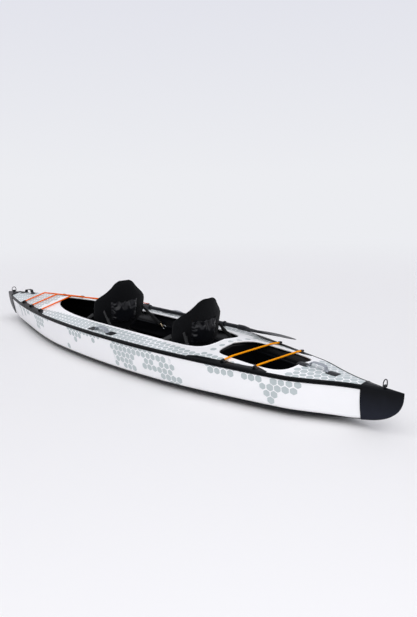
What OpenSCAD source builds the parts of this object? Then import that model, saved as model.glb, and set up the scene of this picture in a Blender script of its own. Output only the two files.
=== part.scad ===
// Inflatable tandem kayak with two fabric seats, deck bungees and a take-apart paddle.
// Frame: +X to the bow, +Y to port, +Z up. The origin is on the ground under the middle of the hull.

/* [Hull] */
// Length from stem to stem
hull_length = 4270; // [3900:10:4700]
// Width over the two sheer lines
beam = 808; // [740:2:880]
// Height of the sheer amidships
sheer_height = 262; // [240:1:300]
// How much lower the sheer is at the stems
sheer_drop = 22; // [0:1:40]
// How much the sheer dips beside the storage well
sheer_dip = 8; // [0:1:16]
// Fullness of the plan view
plan_power = 2.1; // [1.8:0.05:2.6]
// How much narrower the after half is, as a share of its width
aft_taper = 0.05; // [0:0.01:0.08]
// How much finer the stern's end is on top of that
stern_fineness = 0.53; // [0.3:0.01:0.56]
// Half-width of the chine as a share of the sheer's
chine_share = 0.908; // [0.85:0.005:0.95]
// Height of the black bottom amidships
band_height = 46; // [42:1:60]
// How much higher the black bottom ends at the stems
band_rise = 6; // [0:1:20]
// Lift of the keel at the stems
rocker = 92; // [60:1:120]
// Where the rocker starts, as a share of the half-length
rocker_start = 0.55; // [0.4:0.01:0.7]
// Length of the rounded foot of each stem
stem_foot_length = 130; // [100:1:160]
// Height of the rounded foot of each stem
stem_foot_height = 120; // [80:1:130]
// Outward bulge of each side
side_bulge = 5; // [0:0.5:10]

/* [Inside] */
// Height of the cockpit floor
floor_height = 85; // [70:1:110]
// Half-width between the inner walls amidships
inner_half = 256; // [246:1:270]
// Half-length of the hollow between the inner walls
inner_reach = 1930; // [1850:5:1960]
// Inward bulge of each inner wall
wall_bulge = 9; // [0:0.5:14]

/* [Deck] */
// Thickness of the deck skin
deck_t = 4; // [3:0.5:6]
// Slope of the deck towards its ridge, aft and beside the cockpit
crown_aft = 0.115; // [0.05:0.005:0.2]
// Slope of the foredeck towards its ridge
crown_fore = 0.24; // [0.15:0.005:0.3]
// Front end of the cockpit opening
cockpit_front = 1050; // [1000:5:1100]
// Rear end of the cockpit opening
cockpit_rear = -862; // [-880:1:-820]
// Half-width of the cockpit opening
cockpit_half = 247; // [225:1:250]
// Front end of the storage well
well_front = -940; // [-960:1:-920]
// Rear end of the storage well
well_rear = -1488; // [-1520:1:-1440]
// Half-width of the storage well
well_half = 192; // [170:1:198]
// Half-width of the deck bridge between the two openings
bridge_half = 120; // [80:1:150]

/* [Caps and rails] */
// Length of each end cap
cap_length = 222; // [190:1:260]
// Wall of each end cap
cap_wall = 4; // [3:0.5:6]
// Height of the rub rail
rail_height = 26; // [20:1:34]
// How far the rub rail stands out
rail_out = 7; // [5:0.5:10]

/* [Seats] */
// Hinge line of the front seat, along the hull
front_seat_x = 262; // [230:1:290]
// Hinge line of the rear seat, along the hull
rear_seat_x = -635; // [-650:1:-610]
// Length of a seat base
seat_length = 380; // [320:1:420]
// Width of a seat base
seat_width = 400; // [340:1:420]
// Thickness of a seat base
seat_t = 42; // [30:1:50]
// Height of a backrest above its hinge
back_height = 430; // [400:1:460]
// Greatest half-width of a backrest
back_half = 222; // [200:1:224]
// Thickness of a backrest
back_t = 24; // [18:1:30]
// Radius of the curve that a backrest wraps round the back
back_radius = 350; // [320:1:420]
// Lean of the backrest
back_lean = 12; // [8:1:16]
// Width of a seat strap
strap_width = 25; // [20:1:30]

/* [Paddle] */
// Distance of the paddle from the centre line
paddle_y = -312; // [-320:1:-305]
// Outer radius of the paddle shaft
shaft_r = 14.5; // [13:0.5:16]
// Tip of the aft blade, along the hull
paddle_tip = -1190; // [-1240:5:-1150]
// Length from tip to tip
paddle_length = 2100; // [2050:10:2140]
// Length of a blade
blade_length = 455; // [400:5:480]
// Greatest width of a blade
blade_width = 168; // [140:2:176]

/* [Cords and webbing] */
// Diameter of a bungee cord
bungee_d = 9; // [8:0.5:11]
// Width of a carry handle's webbing
handle_width = 30; // [25:1:38]

/* [Hidden] */
$fn = 48;
gap = 0.3;
half_l = hull_length / 2;
side_steps = [0.3, 0.6];
cap_steps = [0, 0.25, 0.5, 0.7];
cap_start = half_l - cap_length;
chamber_end = cap_start + cap_steps[3] * cap_length;
hull_stations = 40;
aft_change = 0.3;
aft_taper_over = 0.3;
sheer_dip_over = 0.4;
sheer_dip_end = 0.75;
sheer_dip_out = 0.17;
stern_fine_from = 0.7;
stern_fine_over = 0.23;
bulge_reach = 0.88;
crown_start = 200;
crown_end = 1000;
tab_t = 3;
deck_inset = 1.2;
cap_lap = 40;
cap_fit = 0.8;
tab_inset = 10;
tab_width = 36;
loop_r = 8.5;
loop_length = 16;
loop_seam = 1;
fore_bungee_x = [1434, 1211, 978];
aft_bungee_x = [-1105, -1317];
tab_ends_fore = [1500, 900];
tab_ends_aft = [-860, -1400];
patch_length = 62;
patch_width = 46;
webbing_t = 3;
handle_rise = 26;
side_handle_x = 15;
side_handle_half = 100;
side_handle_y = 352;
bow_handle_x = 1720;
aft_handle_x = -1603;
handle_half = 92;
hinge_r = 14;
seat_corner = 60;
seat_seam = 70;
back_foot_half = 60;
pocket_half = 116;
pocket_low = 112;
pocket_high = 274;
pocket_t = 22;
ring_wire = 3;
ring_half = 20;
ring_rise = 36;
lug_length = 12;
lug_height = 13;
lug_lift = 1.5;
cap_ring_x = half_l - 110;
valve_r = 24;
valve_t = 4;
collar_r = 15;
collar_h = 9;
collar_bore = 11;
valve_cap_r = 19;
valve_cap_h = 8;
floor_valve_x = 930;
wall_valve_x = 860;
drain_x = -1140;
drain_r = 20;
skeg_x = -1755;
skeg_length = 190;
skeg_width = 46;
skeg_height = 9;
skeg_slot = 11;
anchor_r = 22;
anchor_t = 3;
anchor_back = [245, 150];
anchor_lead = 300;
anchor_wire = 2.5;
anchor_half = 14;
anchor_rise = 26;
bar_out = 8;
lead_up = 170;
tail_up = 205;
tail_y = 165;
tail_off = 5;
hook_wire = 3;
hook_r = 9;
hook_slack = 0.8;
slider_length = 16;
clamp_x = 330;
clamp_r = 21;
clamp_length = 80;
inner_shaft_r = shaft_r - 2.5;
inner_shaft_seat = 200;
lever_length = 60;
throat = 40;
drip_ring_at = 175;
blade_tilt = 15;

// Hull lines
function reach(x) = min(1, abs(x) / half_l);
function ease(u) = let (v = max(0, min(1, u))) v * v * (3 - 2 * v);
function aft(x) = x < 0 ? reach(x) : 0;
function fineness(x) = 1 - aft_taper * ease((aft(x) - aft_change) / aft_taper_over)
    - stern_fineness * ease((aft(x) - stern_fine_from) / stern_fine_over);
function dip(x) = sheer_dip * ease((aft(x) - aft_change) / sheer_dip_over)
    * (1 - ease((aft(x) - sheer_dip_end) / sheer_dip_out));
function sheer_y(x) = beam / 2 * (1 - pow(reach(x), plan_power)) * fineness(x);
function sheer_z(x) = sheer_height - sheer_drop * pow(reach(x), 2) - dip(x);
function foot_share(x) = max(0, min(1, (abs(x) - half_l + stem_foot_length) / stem_foot_length));
function keel_z(x) = rocker * pow(max(0, (reach(x) - rocker_start) / (1 - rocker_start)), 2.2)
    + stem_foot_height * (1 - sqrt(1 - pow(foot_share(x), 2)));
function chine_y(x) = chine_share * sheer_y(x);
function chine_z(x) = max(band_height + band_rise * pow(reach(x), 2), keel_z(x) + 8);
function crown(x) = crown_aft + (crown_fore - crown_aft)
    * ease((x - crown_start) / (crown_end - crown_start));
function deck_z(x, y) = sheer_z(x) + crown(x) * (sheer_y(x) - abs(y));
function skin_z(x, y) = deck_z(x, y) - deck_t - gap;
function side_y(x, s) = chine_y(x) + (sheer_y(x) - chine_y(x)) * s
    + 4 * side_bulge * s * (1 - s) * max(0, 1 - pow(reach(x) / bulge_reach, 2));
function side_z(x, s) = chine_z(x) + (skin_z(x, sheer_y(x)) - chine_z(x)) * s;
function rail_share(x) = 1 - (rail_height - deck_t) / (skin_z(x, sheer_y(x)) - chine_z(x));
function floor_z(x) = floor_height + 0.6 * keel_z(x);
function wall_y(x) = max(gap, inner_half * (1 - pow(min(1, abs(x) / inner_reach), 3.4)));
function wall_mid_z(x) = (floor_z(x) + skin_z(x, wall_y(x))) / 2;
function wall_mid_y(x) = max(gap / 2, wall_y(x) - wall_bulge);

// Openings of the deck
function opening_share(x, front, rear) = (x - (front + rear) / 2) / ((front - rear) / 2);
function cockpit_y(x) = let (u = max(-1, min(1, opening_share(x, cockpit_front, cockpit_rear))))
    u > 0 ? cockpit_half * sqrt(1 - pow(u, 3.2))
    : cockpit_half * (1 - 0.12 * u * u) * pow(1 - pow(-u, 14), 0.25);
function well_y(x) = let (u = max(-1, min(1, opening_share(x, well_front, well_rear))))
    u > 0 ? well_half * pow(1 - pow(u, 8), 0.3)
    : well_half * (1 - 0.2 * u * u) * pow(1 - pow(-u, 8), 0.3);
function reversed(list) = [for (i = [len(list) - 1:-1:0]) list[i]];
function spread(a, b, n) = [for (i = [0:n]) a + (b - a) * i / n];
function bunched(a, b, n) = [for (i = [0:n]) (a + b) / 2 - (b - a) / 2 * cos(180 * i / n)];

// Stations of the chambers: even between the caps, and on the caps' own stations inside them
hull_xs = concat([for (i = [3:-1:1]) -cap_start - cap_steps[i] * cap_length],
    spread(-cap_start, cap_start, hull_stations),
    [for (i = [1:3]) cap_start + cap_steps[i] * cap_length]);

// A solid through sections of equal length, each one anticlockwise as seen from the bow. Each patch
// is split along its shorter diagonal, so that skins that lie on each other bend the same way.
// A bent section's end is closed by several flat outlines.
module loft(sections, outlines = undef) {
    n = len(sections[0]);
    m = len(sections);
    points = [for (s = sections) each s];
    sides = [for (i = [0:m - 2], j = [0:n - 1])
        let (k = (j + 1) % n, a = i * n, b = a + n,
            short = norm(points[b + j] - points[a + k]) <= norm(points[b + k] - points[a + j]))
        each short ? [[b + j, b + k, a + k], [b + j, a + k, a + j]]
            : [[b + j, b + k, a + j], [b + k, a + k, a + j]]];
    ends = is_undef(outlines) ? [[for (j = [0:n - 1]) j]] : outlines;
    first = [for (e = ends) e];
    last = [for (e = ends) [for (j = reversed(e)) (m - 1) * n + j]];
    polyhedron(points, concat(sides, first, last));
}
module both_sides() {
    children();
    mirror([0, 1, 0]) children();
}
module starboard() {
    mirror([0, 1, 0]) children();
}
// A skin on the port half of the deck, between two lists of half-widths
module deck_strip(xs, inner, outer, thick, lift) {
    loft([for (i = [0:len(xs) - 1]) let (x = xs[i], a = inner[i], b = outer[i])
        [[x, a, deck_z(x, a) + lift - thick], [x, b, deck_z(x, b) + lift - thick],
        [x, b, deck_z(x, b) + lift], [x, a, deck_z(x, a) + lift]]]);
}
// A skin over the ridge, from edge to edge
module deck_roof(xs, outer) {
    loft([for (i = [0:len(xs) - 1]) let (x = xs[i], b = outer[i])
        [[x, -b, deck_z(x, b) - deck_t], [x, 0, deck_z(x, 0) - deck_t], [x, b, deck_z(x, b) - deck_t],
        [x, b, deck_z(x, b)], [x, 0, deck_z(x, 0)], [x, -b, deck_z(x, b)]]],
        [[0, 1, 4, 5], [1, 2, 3, 4]]);
}
module side_chamber() {
    loft([for (x = hull_xs)
        let (w = wall_y(x), y = sheer_y(x))
        concat([[x, chine_y(x), chine_z(x) + gap]],
            [for (s = concat(side_steps, [rail_share(x)])) [x, side_y(x, s), side_z(x, s)]],
            [[x, y, skin_z(x, y) - gap], [x, w, skin_z(x, w) - 2 * gap],
            [x, wall_mid_y(x), wall_mid_z(x)], [x, w, floor_z(x) + gap]])]);
}
module floor_chamber() {
    color("#16181c") loft([for (x = hull_xs)
        let (w = wall_y(x) - gap / 2, b = chine_y(x), k = keel_z(x), h = chine_z(x) - k,
            right = [[0.62 * b, k], [0.84 * b, k + 0.1 * h], [0.95 * b, k + 0.36 * h], [b, k + h],
                [w, floor_z(x)]])
        concat([for (p = right) [x, p[0], p[1]]],
            [for (i = [4:-1:0]) [x, -right[i][0], right[i][1]]])]);
}
module port_side_chamber() {
    color("#f2f3f5") side_chamber();
}
module starboard_side_chamber() {
    color("#f2f3f5") starboard() side_chamber();
}

// Decks
module foredeck() {
    xs = spread(cockpit_front + gap, cap_start + cap_lap, 10);
    color("#f2f3f5") deck_roof(xs, [for (x = xs) sheer_y(x) - deck_inset]);
}
module aft_deck() {
    xs = concat([-cap_start - cap_lap], [for (x = hull_xs) if (x > -cap_start - gap && x < well_rear - 20) x],
        [well_rear - gap]);
    color("#f2f3f5") deck_roof(xs, [for (x = xs) sheer_y(x) - deck_inset]);
}
function inner_edge(x) = x > cockpit_rear ? max(x > 0 ? gap : bridge_half + gap, cockpit_y(x))
    : x > well_front ? bridge_half + gap
    : max(x < (well_front + well_rear) / 2 ? gap : bridge_half + gap, well_y(x));
module side_deck() {
    xs = concat(bunched(well_rear, well_front, 16), bunched(cockpit_rear, cockpit_front, 28));
    color("#f2f3f5")
        deck_strip(xs, [for (x = xs) inner_edge(x)], [for (x = xs) sheer_y(x) - deck_inset], deck_t, 0);
}
module port_side_deck() {
    side_deck();
}
module starboard_side_deck() {
    starboard() side_deck();
}
module bridge_deck() {
    xs = [well_front, cockpit_rear];
    color("#f2f3f5") deck_roof(xs, [bridge_half - gap, bridge_half - gap]);
}
// The padded wall under the bridge
module bulkhead() {
    x0 = well_front + 8;
    x1 = cockpit_rear - 8;
    r = (x1 - x0) / 2;
    low = floor_z(x0) + gap + r;
    half = wall_mid_y(x0) - 2 * gap;
    color("#16181c") loft([for (y = [-half, 0, half]) let (high = skin_z(x0, y) - gap - r)
        [for (a = [-82.5:15:262.5])
            [(x0 + x1) / 2 + r * sin(a), y, (cos(a) > 0 ? high : low) + r * cos(a)]]]);
}

// A ring of points round the whole hull at one station, standing out by a wall
function hull_ring(x, out) = let (y = sheer_y(x) + out, b = chine_y(x) + out, k = keel_z(x) - out,
    h = chine_z(x) - keel_z(x), zs = sheer_z(x) + out, ridge = deck_z(x, 0) + out + 1,
    port = [[0.62 * b, k], [0.84 * b, k + 0.1 * h], [0.95 * b, k + 0.36 * h], [b, k + h + out], [y, zs]])
    concat([for (p = port) [x, p[0], p[1]]], [[x, 0, ridge]],
        [for (i = [4:-1:0]) [x, -port[i][0], port[i][1]]]);
// A shell over one stem, for the bow at 1 and the stern at -1
module end_cap(end) {
    outer = [for (u = [0, 0.2, 0.4, 0.6, 0.75, 0.87, 0.95, 1]) hull_ring(end * (cap_start + u * cap_length),
        cap_fit + cap_wall)];
    inner = concat([hull_ring(end * (cap_start - cap_lap), cap_fit)],
        [for (u = cap_steps) hull_ring(end * (cap_start + u * cap_length), cap_fit)],
        [[for (p = hull_ring(end * chamber_end, cap_fit)) p + [2 * end * gap, 0, 0]]]);
    difference() {
        loft(end > 0 ? outer : reversed(outer));
        loft(end > 0 ? inner : reversed(inner));
    }
}
module bow_cap() {
    color("#1b1e26") end_cap(1);
}
module stern_cap() {
    color("#1b1e26") end_cap(-1);
}
// Two round beads on a flat tape along the sheer
module rub_rail() {
    end = cap_start - gap;
    loft([for (x = spread(-end, end, hull_stations))
        let (y = sheer_y(x) + gap, z = skin_z(x, sheer_y(x)), s = rail_share(x),
            low_y = side_y(x, s) + gap, low_z = side_z(x, s), top = sheer_z(x) + 1,
            h = top - low_z, lean = (y - low_y) / h)
        [[x, low_y, low_z], [x, low_y + 0.6 * rail_out, low_z], [x, low_y + rail_out, low_z + 0.12 * h],
        [x, low_y + rail_out + 0.36 * lean * h, low_z + 0.36 * h],
        [x, low_y + 0.55 * rail_out + 0.5 * lean * h, low_z + 0.5 * h],
        [x, low_y + rail_out + 0.64 * lean * h, low_z + 0.64 * h],
        [x, low_y + rail_out + 0.88 * lean * h, low_z + 0.88 * h],
        [x, y + 0.6 * rail_out, top], [x, y, top], [x, y, z]]]);
}
module port_rub_rail() {
    color("#16181c") rub_rail();
}
module starboard_rub_rail() {
    color("#16181c") starboard() rub_rail();
}

// Fittings of the hull
module skeg_box() {
    x0 = skeg_x - skeg_length / 2;
    x1 = skeg_x + skeg_length / 2;
    slope = atan2(keel_z(x1) - keel_z(x0), skeg_length);
    color("#1b1e26") translate([x0, 0, keel_z(x0) - gap - 1]) rotate([0, -slope, 0]) difference() {
        union() {
            translate([0, -skeg_width / 2, -2]) cube([skeg_length, skeg_width, 2]);
            translate([0, -skeg_slot, -skeg_height]) cube([skeg_length, 2 * skeg_slot, skeg_height - 1]);
        }
        translate([-1, -skeg_slot / 2, -skeg_height - 1])
            cube([skeg_length - 11, skeg_slot, skeg_height - 2]);
    }
}
// A flange with a threaded collar, standing along +Z
module valve_body() {
    difference() {
        union() {
            cylinder(h = valve_t, r = valve_r);
            cylinder(h = valve_t + collar_h, r = collar_r);
        }
        translate([0, 0, 1]) cylinder(h = valve_t + collar_h, r = collar_bore);
    }
}
// A screw cap with a plug below, a skirt round the collar and a finger grip on top
module valve_cap() {
    top = valve_t + collar_h + gap;
    difference() {
        translate([0, 0, valve_t + gap]) cylinder(h = collar_h + valve_cap_h - 2, r = valve_cap_r);
        translate([0, 0, valve_t]) cylinder(h = top - valve_t, r = collar_r + gap);
    }
    translate([0, 0, valve_t]) cylinder(h = top - valve_t + 1, r = collar_bore - gap);
    translate([-valve_cap_r + 2, -3, top + valve_cap_h - 3]) cube([2 * valve_cap_r - 4, 6, 6]);
}
module at_floor_valve() {
    translate([floor_valve_x, 0, floor_z(floor_valve_x) + gap]) children();
}
module at_wall_valve() {
    slope = atan2(wall_mid_y(wall_valve_x + 40) - wall_mid_y(wall_valve_x - 40), 80);
    translate([wall_valve_x, wall_mid_y(wall_valve_x) - gap - 0.3, wall_mid_z(wall_valve_x)])
        rotate([90, 0, slope]) children();
}
module valve_bodies() {
    color("#2a2d33") {
        at_floor_valve() valve_body();
        both_sides() at_wall_valve() valve_body();
    }
}
module floor_valve_cap() {
    color("#2a2d33") at_floor_valve() valve_cap();
}
module port_valve_cap() {
    color("#2a2d33") at_wall_valve() valve_cap();
}
module starboard_valve_cap() {
    color("#2a2d33") starboard() at_wall_valve() valve_cap();
}
module at_drain() {
    translate([drain_x, 0, floor_z(drain_x) + gap]) children();
}
module drain_port() {
    color("#2a2d33") at_drain() difference() {
        union() {
            cylinder(h = 3, r = drain_r + 8);
            cylinder(h = 9, r = drain_r);
        }
        translate([0, 0, 1]) cylinder(h = 10, r = drain_r - 5);
    }
}
module drain_plug() {
    color("#2a2d33") at_drain() {
        translate([0, 0, 1 + gap]) cylinder(h = 9, r = drain_r - 5 - gap);
        translate([0, 0, 9 + gap]) cylinder(h = 3, r = drain_r);
        translate([0, 2, 11]) rotate([90, 0, 0]) difference() {
            cylinder(h = 4, r = 11);
            translate([0, 0, -1]) cylinder(h = 6, r = 7);
            translate([-12, -24, -1]) cube([24, 24, 6]);
        }
    }
}

// Tow rings, each on a lug of its end cap
module at_cap_ring(side) {
    x = side * cap_ring_x;
    translate([x, 0, deck_z(x, 0) + cap_wall + cap_fit + gap + lug_height / 2 + lug_lift]) children();
}
module ring_lug() {
    difference() {
        translate([-lug_length / 2, -ring_half + 8, -lug_height / 2])
            cube([lug_length, 2 * ring_half - 16, lug_height]);
        rotate([90, 0, 0]) cylinder(h = 3 * ring_half, r = ring_wire + gap, center = true);
    }
}
module ring_lugs() {
    color("#1b1e26") {
        at_cap_ring(1) ring_lug();
        at_cap_ring(-1) ring_lug();
    }
}
// A round wire bent to a D, with its straight bar on the Y axis
module d_ring(half, rise, wire) {
    rotate([90, 0, 0]) cylinder(h = 2 * half, r = wire, center = true);
    for (side = [-1, 1]) translate([0, side * half, 0]) {
        sphere(wire);
        cylinder(h = rise - half, r = wire);
    }
    translate([0, 0, rise - half]) rotate([90, 0, 90])
        rotate_extrude(angle = 180) translate([half, 0]) circle(wire);
}
module bow_ring() {
    color("#1b1e26") at_cap_ring(1) d_ring(ring_half, ring_rise, ring_wire);
}
module stern_ring() {
    color("#1b1e26") at_cap_ring(-1) d_ring(ring_half, ring_rise, ring_wire);
}

// Carry handles: a patch under each end and an arch of webbing between
module patch(x, y, length, width) {
    deck_strip([x - length / 2, x + length / 2], [y - width / 2, y - width / 2],
        [y + width / 2, y + width / 2], tab_t, tab_t + gap);
}
module ridge_patch(x, length, width) {
    a = x - length / 2;
    b = x + length / 2;
    translate([0, 0, tab_t + deck_t + gap]) intersection() {
        deck_roof([a, b], [width / 2, width / 2]);
        translate([a - 1, -width, 0]) cube([length + 2, 2 * width, 2 * sheer_height]);
    }
}
module handle_patches() {
    color("#16181c") {
        for (x = [bow_handle_x, aft_handle_x], end = [-1, 1])
            translate([0, 0, -deck_t + 1]) ridge_patch(x + end * handle_half, patch_length, patch_width);
        both_sides() for (end = [-1, 1])
            patch(side_handle_x + end * side_handle_half, side_handle_y, patch_length, patch_width);
    }
}
// The webbing rises from both ends to a flat grip
module handle_arch(half, rise) {
    foot = 22;
    translate([0, handle_width / 2, 0]) rotate([90, 0, 0]) linear_extrude(handle_width) polygon([
        [-half - foot, 0], [-half, 0], [-0.55 * half, rise - webbing_t], [0.55 * half, rise - webbing_t],
        [half, 0], [half + foot, 0], [half + foot, webbing_t], [half, webbing_t],
        [0.55 * half, rise], [-0.55 * half, rise], [-half, webbing_t], [-half - foot, webbing_t]]);
}
module ridge_handle(x) {
    a = deck_z(x - handle_half, 0);
    b = deck_z(x + handle_half, 0);
    translate([x, 0, (a + b) / 2 + deck_t + 2 * gap + 0.3])
        rotate([0, -atan2(b - a, 2 * handle_half), 0]) handle_arch(handle_half, handle_rise);
}
module deck_handles() {
    color("#3a3d44") {
        ridge_handle(bow_handle_x);
        ridge_handle(aft_handle_x);
    }
}
module side_handles() {
    tilt = -atan(crown(side_handle_x));
    z = deck_z(side_handle_x, side_handle_y) + tab_t + 2 * gap;
    color("#b9bcc2") both_sides() translate([side_handle_x, side_handle_y, z])
        rotate([tilt, 0, 0]) handle_arch(side_handle_half, handle_rise);
}

// Strips beside the rails, with a sewn loop for each bungee's end
module tab_strip(ends) {
    xs = spread(min(ends), max(ends), 6);
    deck_strip(xs, [for (x = xs) sheer_y(x) - tab_inset - tab_width],
        [for (x = xs) sheer_y(x) - tab_inset], tab_t, tab_t + gap);
}
function loop_y(x) = sheer_y(x) - tab_inset - tab_width / 2;
function loop_z(x) = deck_z(x, loop_y(x)) + tab_t + gap + loop_r - loop_seam;
module bungee_loop(x) {
    translate([x, loop_y(x), loop_z(x)]) rotate([90 - atan(crown(x)), 0, 0]) difference() {
        cylinder(h = loop_length, r = loop_r, center = true);
        cylinder(h = 2 * loop_length, r = bungee_d / 2 + gap, center = true);
    }
}
module fore_tab_strips() {
    color("#16181c") both_sides() {
        tab_strip(tab_ends_fore);
        for (x = fore_bungee_x) bungee_loop(x);
    }
}
module aft_tab_strips() {
    color("#16181c") both_sides() {
        tab_strip(tab_ends_aft);
        for (x = aft_bungee_x) bungee_loop(x);
    }
}
// A cord that climbs the deck from both loops to its knees, and runs straight between them
module bungee(x, knee) {
    tilt = atan(crown(x));
    slope = (loop_y(x) - knee + loop_length) / cos(tilt);
    top = loop_z(x) + (loop_y(x) - knee) * crown(x);
    if (knee > 0) translate([x, 0, top]) rotate([90, 0, 0])
        cylinder(h = 2 * knee, r = bungee_d / 2, center = true);
    for (side = knee > 0 ? [-1, 1] : [0]) translate([x, side * knee, top]) sphere((bungee_d + gap) / 2);
    both_sides() translate([x, knee, top]) rotate([-90 - tilt, 0, 0]) {
        cylinder(h = slope, r = bungee_d / 2);
        translate([0, 0, slope]) sphere(0.75 * bungee_d);
    }
}
module fore_bungees() {
    color("#e8641b") for (x = fore_bungee_x) bungee(x, 0);
}
module aft_bungees() {
    color("#f08c1e") for (x = aft_bungee_x) bungee(x, well_y(x));
}

// Seats
seat_xs = [front_seat_x, rear_seat_x];
back_axis = back_radius - back_t / 2;
hinge_z = floor_height + 2 * gap + seat_t + hinge_r;
module rounded_plate(length, width, r) {
    translate([r, 0]) square([length - 2 * r, width]);
    translate([0, r]) square([length, width - 2 * r]);
    for (x = [r, length - r], y = [r, width - r]) translate([x, y]) circle(r);
}
module seat_base(x) {
    color("#1c1e22") translate([x - hinge_r, -seat_width / 2, floor_height + gap]) difference() {
        linear_extrude(seat_t) rounded_plate(seat_length, seat_width, seat_corner);
        translate([seat_seam, seat_width / 2 - 2, seat_t - 5]) cube([seat_length - 2 * seat_seam, 4, 6]);
    }
}
module front_seat_base() {
    seat_base(front_seat_x);
}
module rear_seat_base() {
    seat_base(rear_seat_x);
}
// Half-width of a backrest at a height above its hinge
function bell(z) = let (u = z / back_height)
    u < 0.3 ? back_foot_half + (back_half - back_foot_half) * ease((u - 0.04) / 0.26)
    : u < 0.5 ? back_half
    : back_half * pow(max(0, 1 - pow(2 * u - 1, 2.2)), 0.65);
module bell_plate(z0, z1, depth) {
    zs = concat(spread(z0, z1 / 2, 8), [for (a = [15:15:90]) z1 / 2 * (1 + sin(a))]);
    half = [for (z = zs) [max(1, bell(z)), z]];
    rotate([90, 0, 90]) linear_extrude(depth)
        polygon(concat(half, [for (i = [len(half) - 1:-1:0]) [-half[i][0], half[i][1]]]));
}
module at_seat_hinge(x) {
    translate([x, 0, hinge_z]) rotate([0, -back_lean, 0]) children();
}
// A curved shell cut to the bell outline, on a rounded hinge bead
module backrest(x) {
    color("#15161a") at_seat_hinge(x) {
        intersection() {
            translate([back_axis, 0, 0]) tube(back_height + 1, back_radius, back_radius - back_t);
            translate([-back_t / 2, 0, 0]) bell_plate(2, back_height, back_radius / 2);
        }
        rotate([90, 0, 0]) cylinder(h = 2 * back_foot_half, r = hinge_r, center = true);
    }
}
module front_backrest() {
    backrest(front_seat_x);
}
module rear_backrest() {
    backrest(rear_seat_x);
}
// A gusseted pocket on the rear face of the backrest
module pocket(x) {
    color("#22242a") at_seat_hinge(x) intersection() {
        difference() {
            translate([back_axis, 0, pocket_low])
                cylinder(h = pocket_high - pocket_low, r = back_radius + pocket_t);
            translate([back_axis, 0, pocket_low - 1]) cylinder(h = pocket_high, r = back_radius + gap);
        }
        translate([-back_t - pocket_t, -pocket_half, 0])
            cube([back_radius / 2, 2 * pocket_half, back_height]);
    }
}
module front_pocket() {
    pocket(front_seat_x);
}
module rear_pocket() {
    pocket(rear_seat_x);
}

// Straps from the wings of a backrest to rings on the inner walls, two ahead and two behind
function anchor_x(i, lead) = seat_xs[i] + (lead > 0 ? anchor_lead : -anchor_back[i]);
function ring_bar(i, lead) = let (a = anchor_x(i, lead))
    [a, wall_mid_y(a) - 2 * gap - anchor_t - bar_out, wall_mid_z(a)];
// A point on a backrest, from its depth, side and height in the leaning back's own directions
function back_point(i, deep, y, up) = [seat_xs[i] + deep * cos(back_lean) - up * sin(back_lean), y,
    hinge_z + deep * sin(back_lean) + up * cos(back_lean)];
function rear_face(y) = back_axis - sqrt(pow(back_radius, 2) - y * y);
function strap_top(i, lead) = lead > 0 ? back_point(i, rear_face(back_half), back_half + 1 + 2 * gap, lead_up)
    : back_point(i, rear_face(tail_y) - tail_off, tail_y, tail_up);
// The strap's two ends, and the middle of the hook's far wire
function strap_line(i, lead) = let (a = strap_top(i, lead), bar = ring_bar(i, lead),
    d = (bar - a) / norm(bar - a), far = bar - d * (anchor_rise - hook_wire - anchor_wire - hook_slack))
    [a + d * 6, far - d * (25 + 2 * hook_r), far];
module along(a, b) {
    d = b - a;
    translate(a) rotate([0, -asin(d[2] / norm(d)), atan2(d[1], d[0])]) children();
}
module seat_straps(i) {
    color("#2b2d33") both_sides() for (lead = [1, -1]) {
        line = strap_line(i, lead);
        along(line[0], line[1])
            translate([0, -1, -strap_width / 2]) cube([norm(line[1] - line[0]), 2, strap_width]);
    }
}
module front_seat_straps() {
    seat_straps(0);
}
module rear_seat_straps() {
    seat_straps(1);
}
module strap_sliders(i) {
    color("#1c1e22") both_sides() for (lead = [1, -1]) {
        line = strap_line(i, lead);
        along(line[0], line[1]) translate([0.62 * norm(line[1] - line[0]), 0, 0]) difference() {
            cube([slider_length, 9, strap_width + 10], center = true);
            cube([slider_length + 2, 3, strap_width + 2], center = true);
        }
    }
}
module front_strap_sliders() {
    strap_sliders(0);
}
module rear_strap_sliders() {
    strap_sliders(1);
}
// A swivel snap hook: an eye for the strap, a barrel and a closed hook, along +X
module snap_hook() {
    difference() {
        translate([gap, -4, -strap_width / 2 - 4]) cube([9, 8, strap_width + 8]);
        translate([3, -5, -strap_width / 2]) cube([3.5, 10, strap_width]);
    }
    translate([9, 0, 0]) rotate([0, 90, 0]) cylinder(h = 17, r = 5);
    translate([25 + hook_r, 0, 0]) rotate_extrude() translate([hook_r, 0]) circle(hook_wire);
}
module strap_hooks() {
    color("#b39b7a") for (i = [0, 1]) both_sides() for (lead = [1, -1]) {
        line = strap_line(i, lead);
        along(line[1], line[2]) snap_hook();
    }
}
// A round patch on the inner wall with a post that carries the ring's bar
module seat_anchor_tabs() {
    color("#16181c") for (i = [0, 1], lead = [1, -1]) both_sides() {
        a = anchor_x(i, lead);
        bar = ring_bar(i, lead);
        slope = atan2(wall_mid_y(a + 30) - wall_mid_y(a - 30), 60);
        translate([a, wall_mid_y(a) - 2 * gap, wall_mid_z(a)]) rotate([90, 0, slope])
            cylinder(h = anchor_t, r = anchor_r);
        along(bar, strap_top(i, lead)) difference() {
            translate([-5, lead > 0 ? -bar_out - 1 : -5, -8]) cube([10, bar_out + 6, 16]);
            cylinder(h = 40, r = anchor_wire + gap, center = true);
        }
    }
}
// Each ring is pulled in line with its strap and passes through the hook
module seat_anchor_rings() {
    color("#8a8d92") for (i = [0, 1], lead = [1, -1]) both_sides()
        along(ring_bar(i, lead), strap_top(i, lead)) rotate([0, 90, 0]) rotate([0, 0, 90])
            d_ring(anchor_half, anchor_rise, anchor_wire);
}

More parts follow.
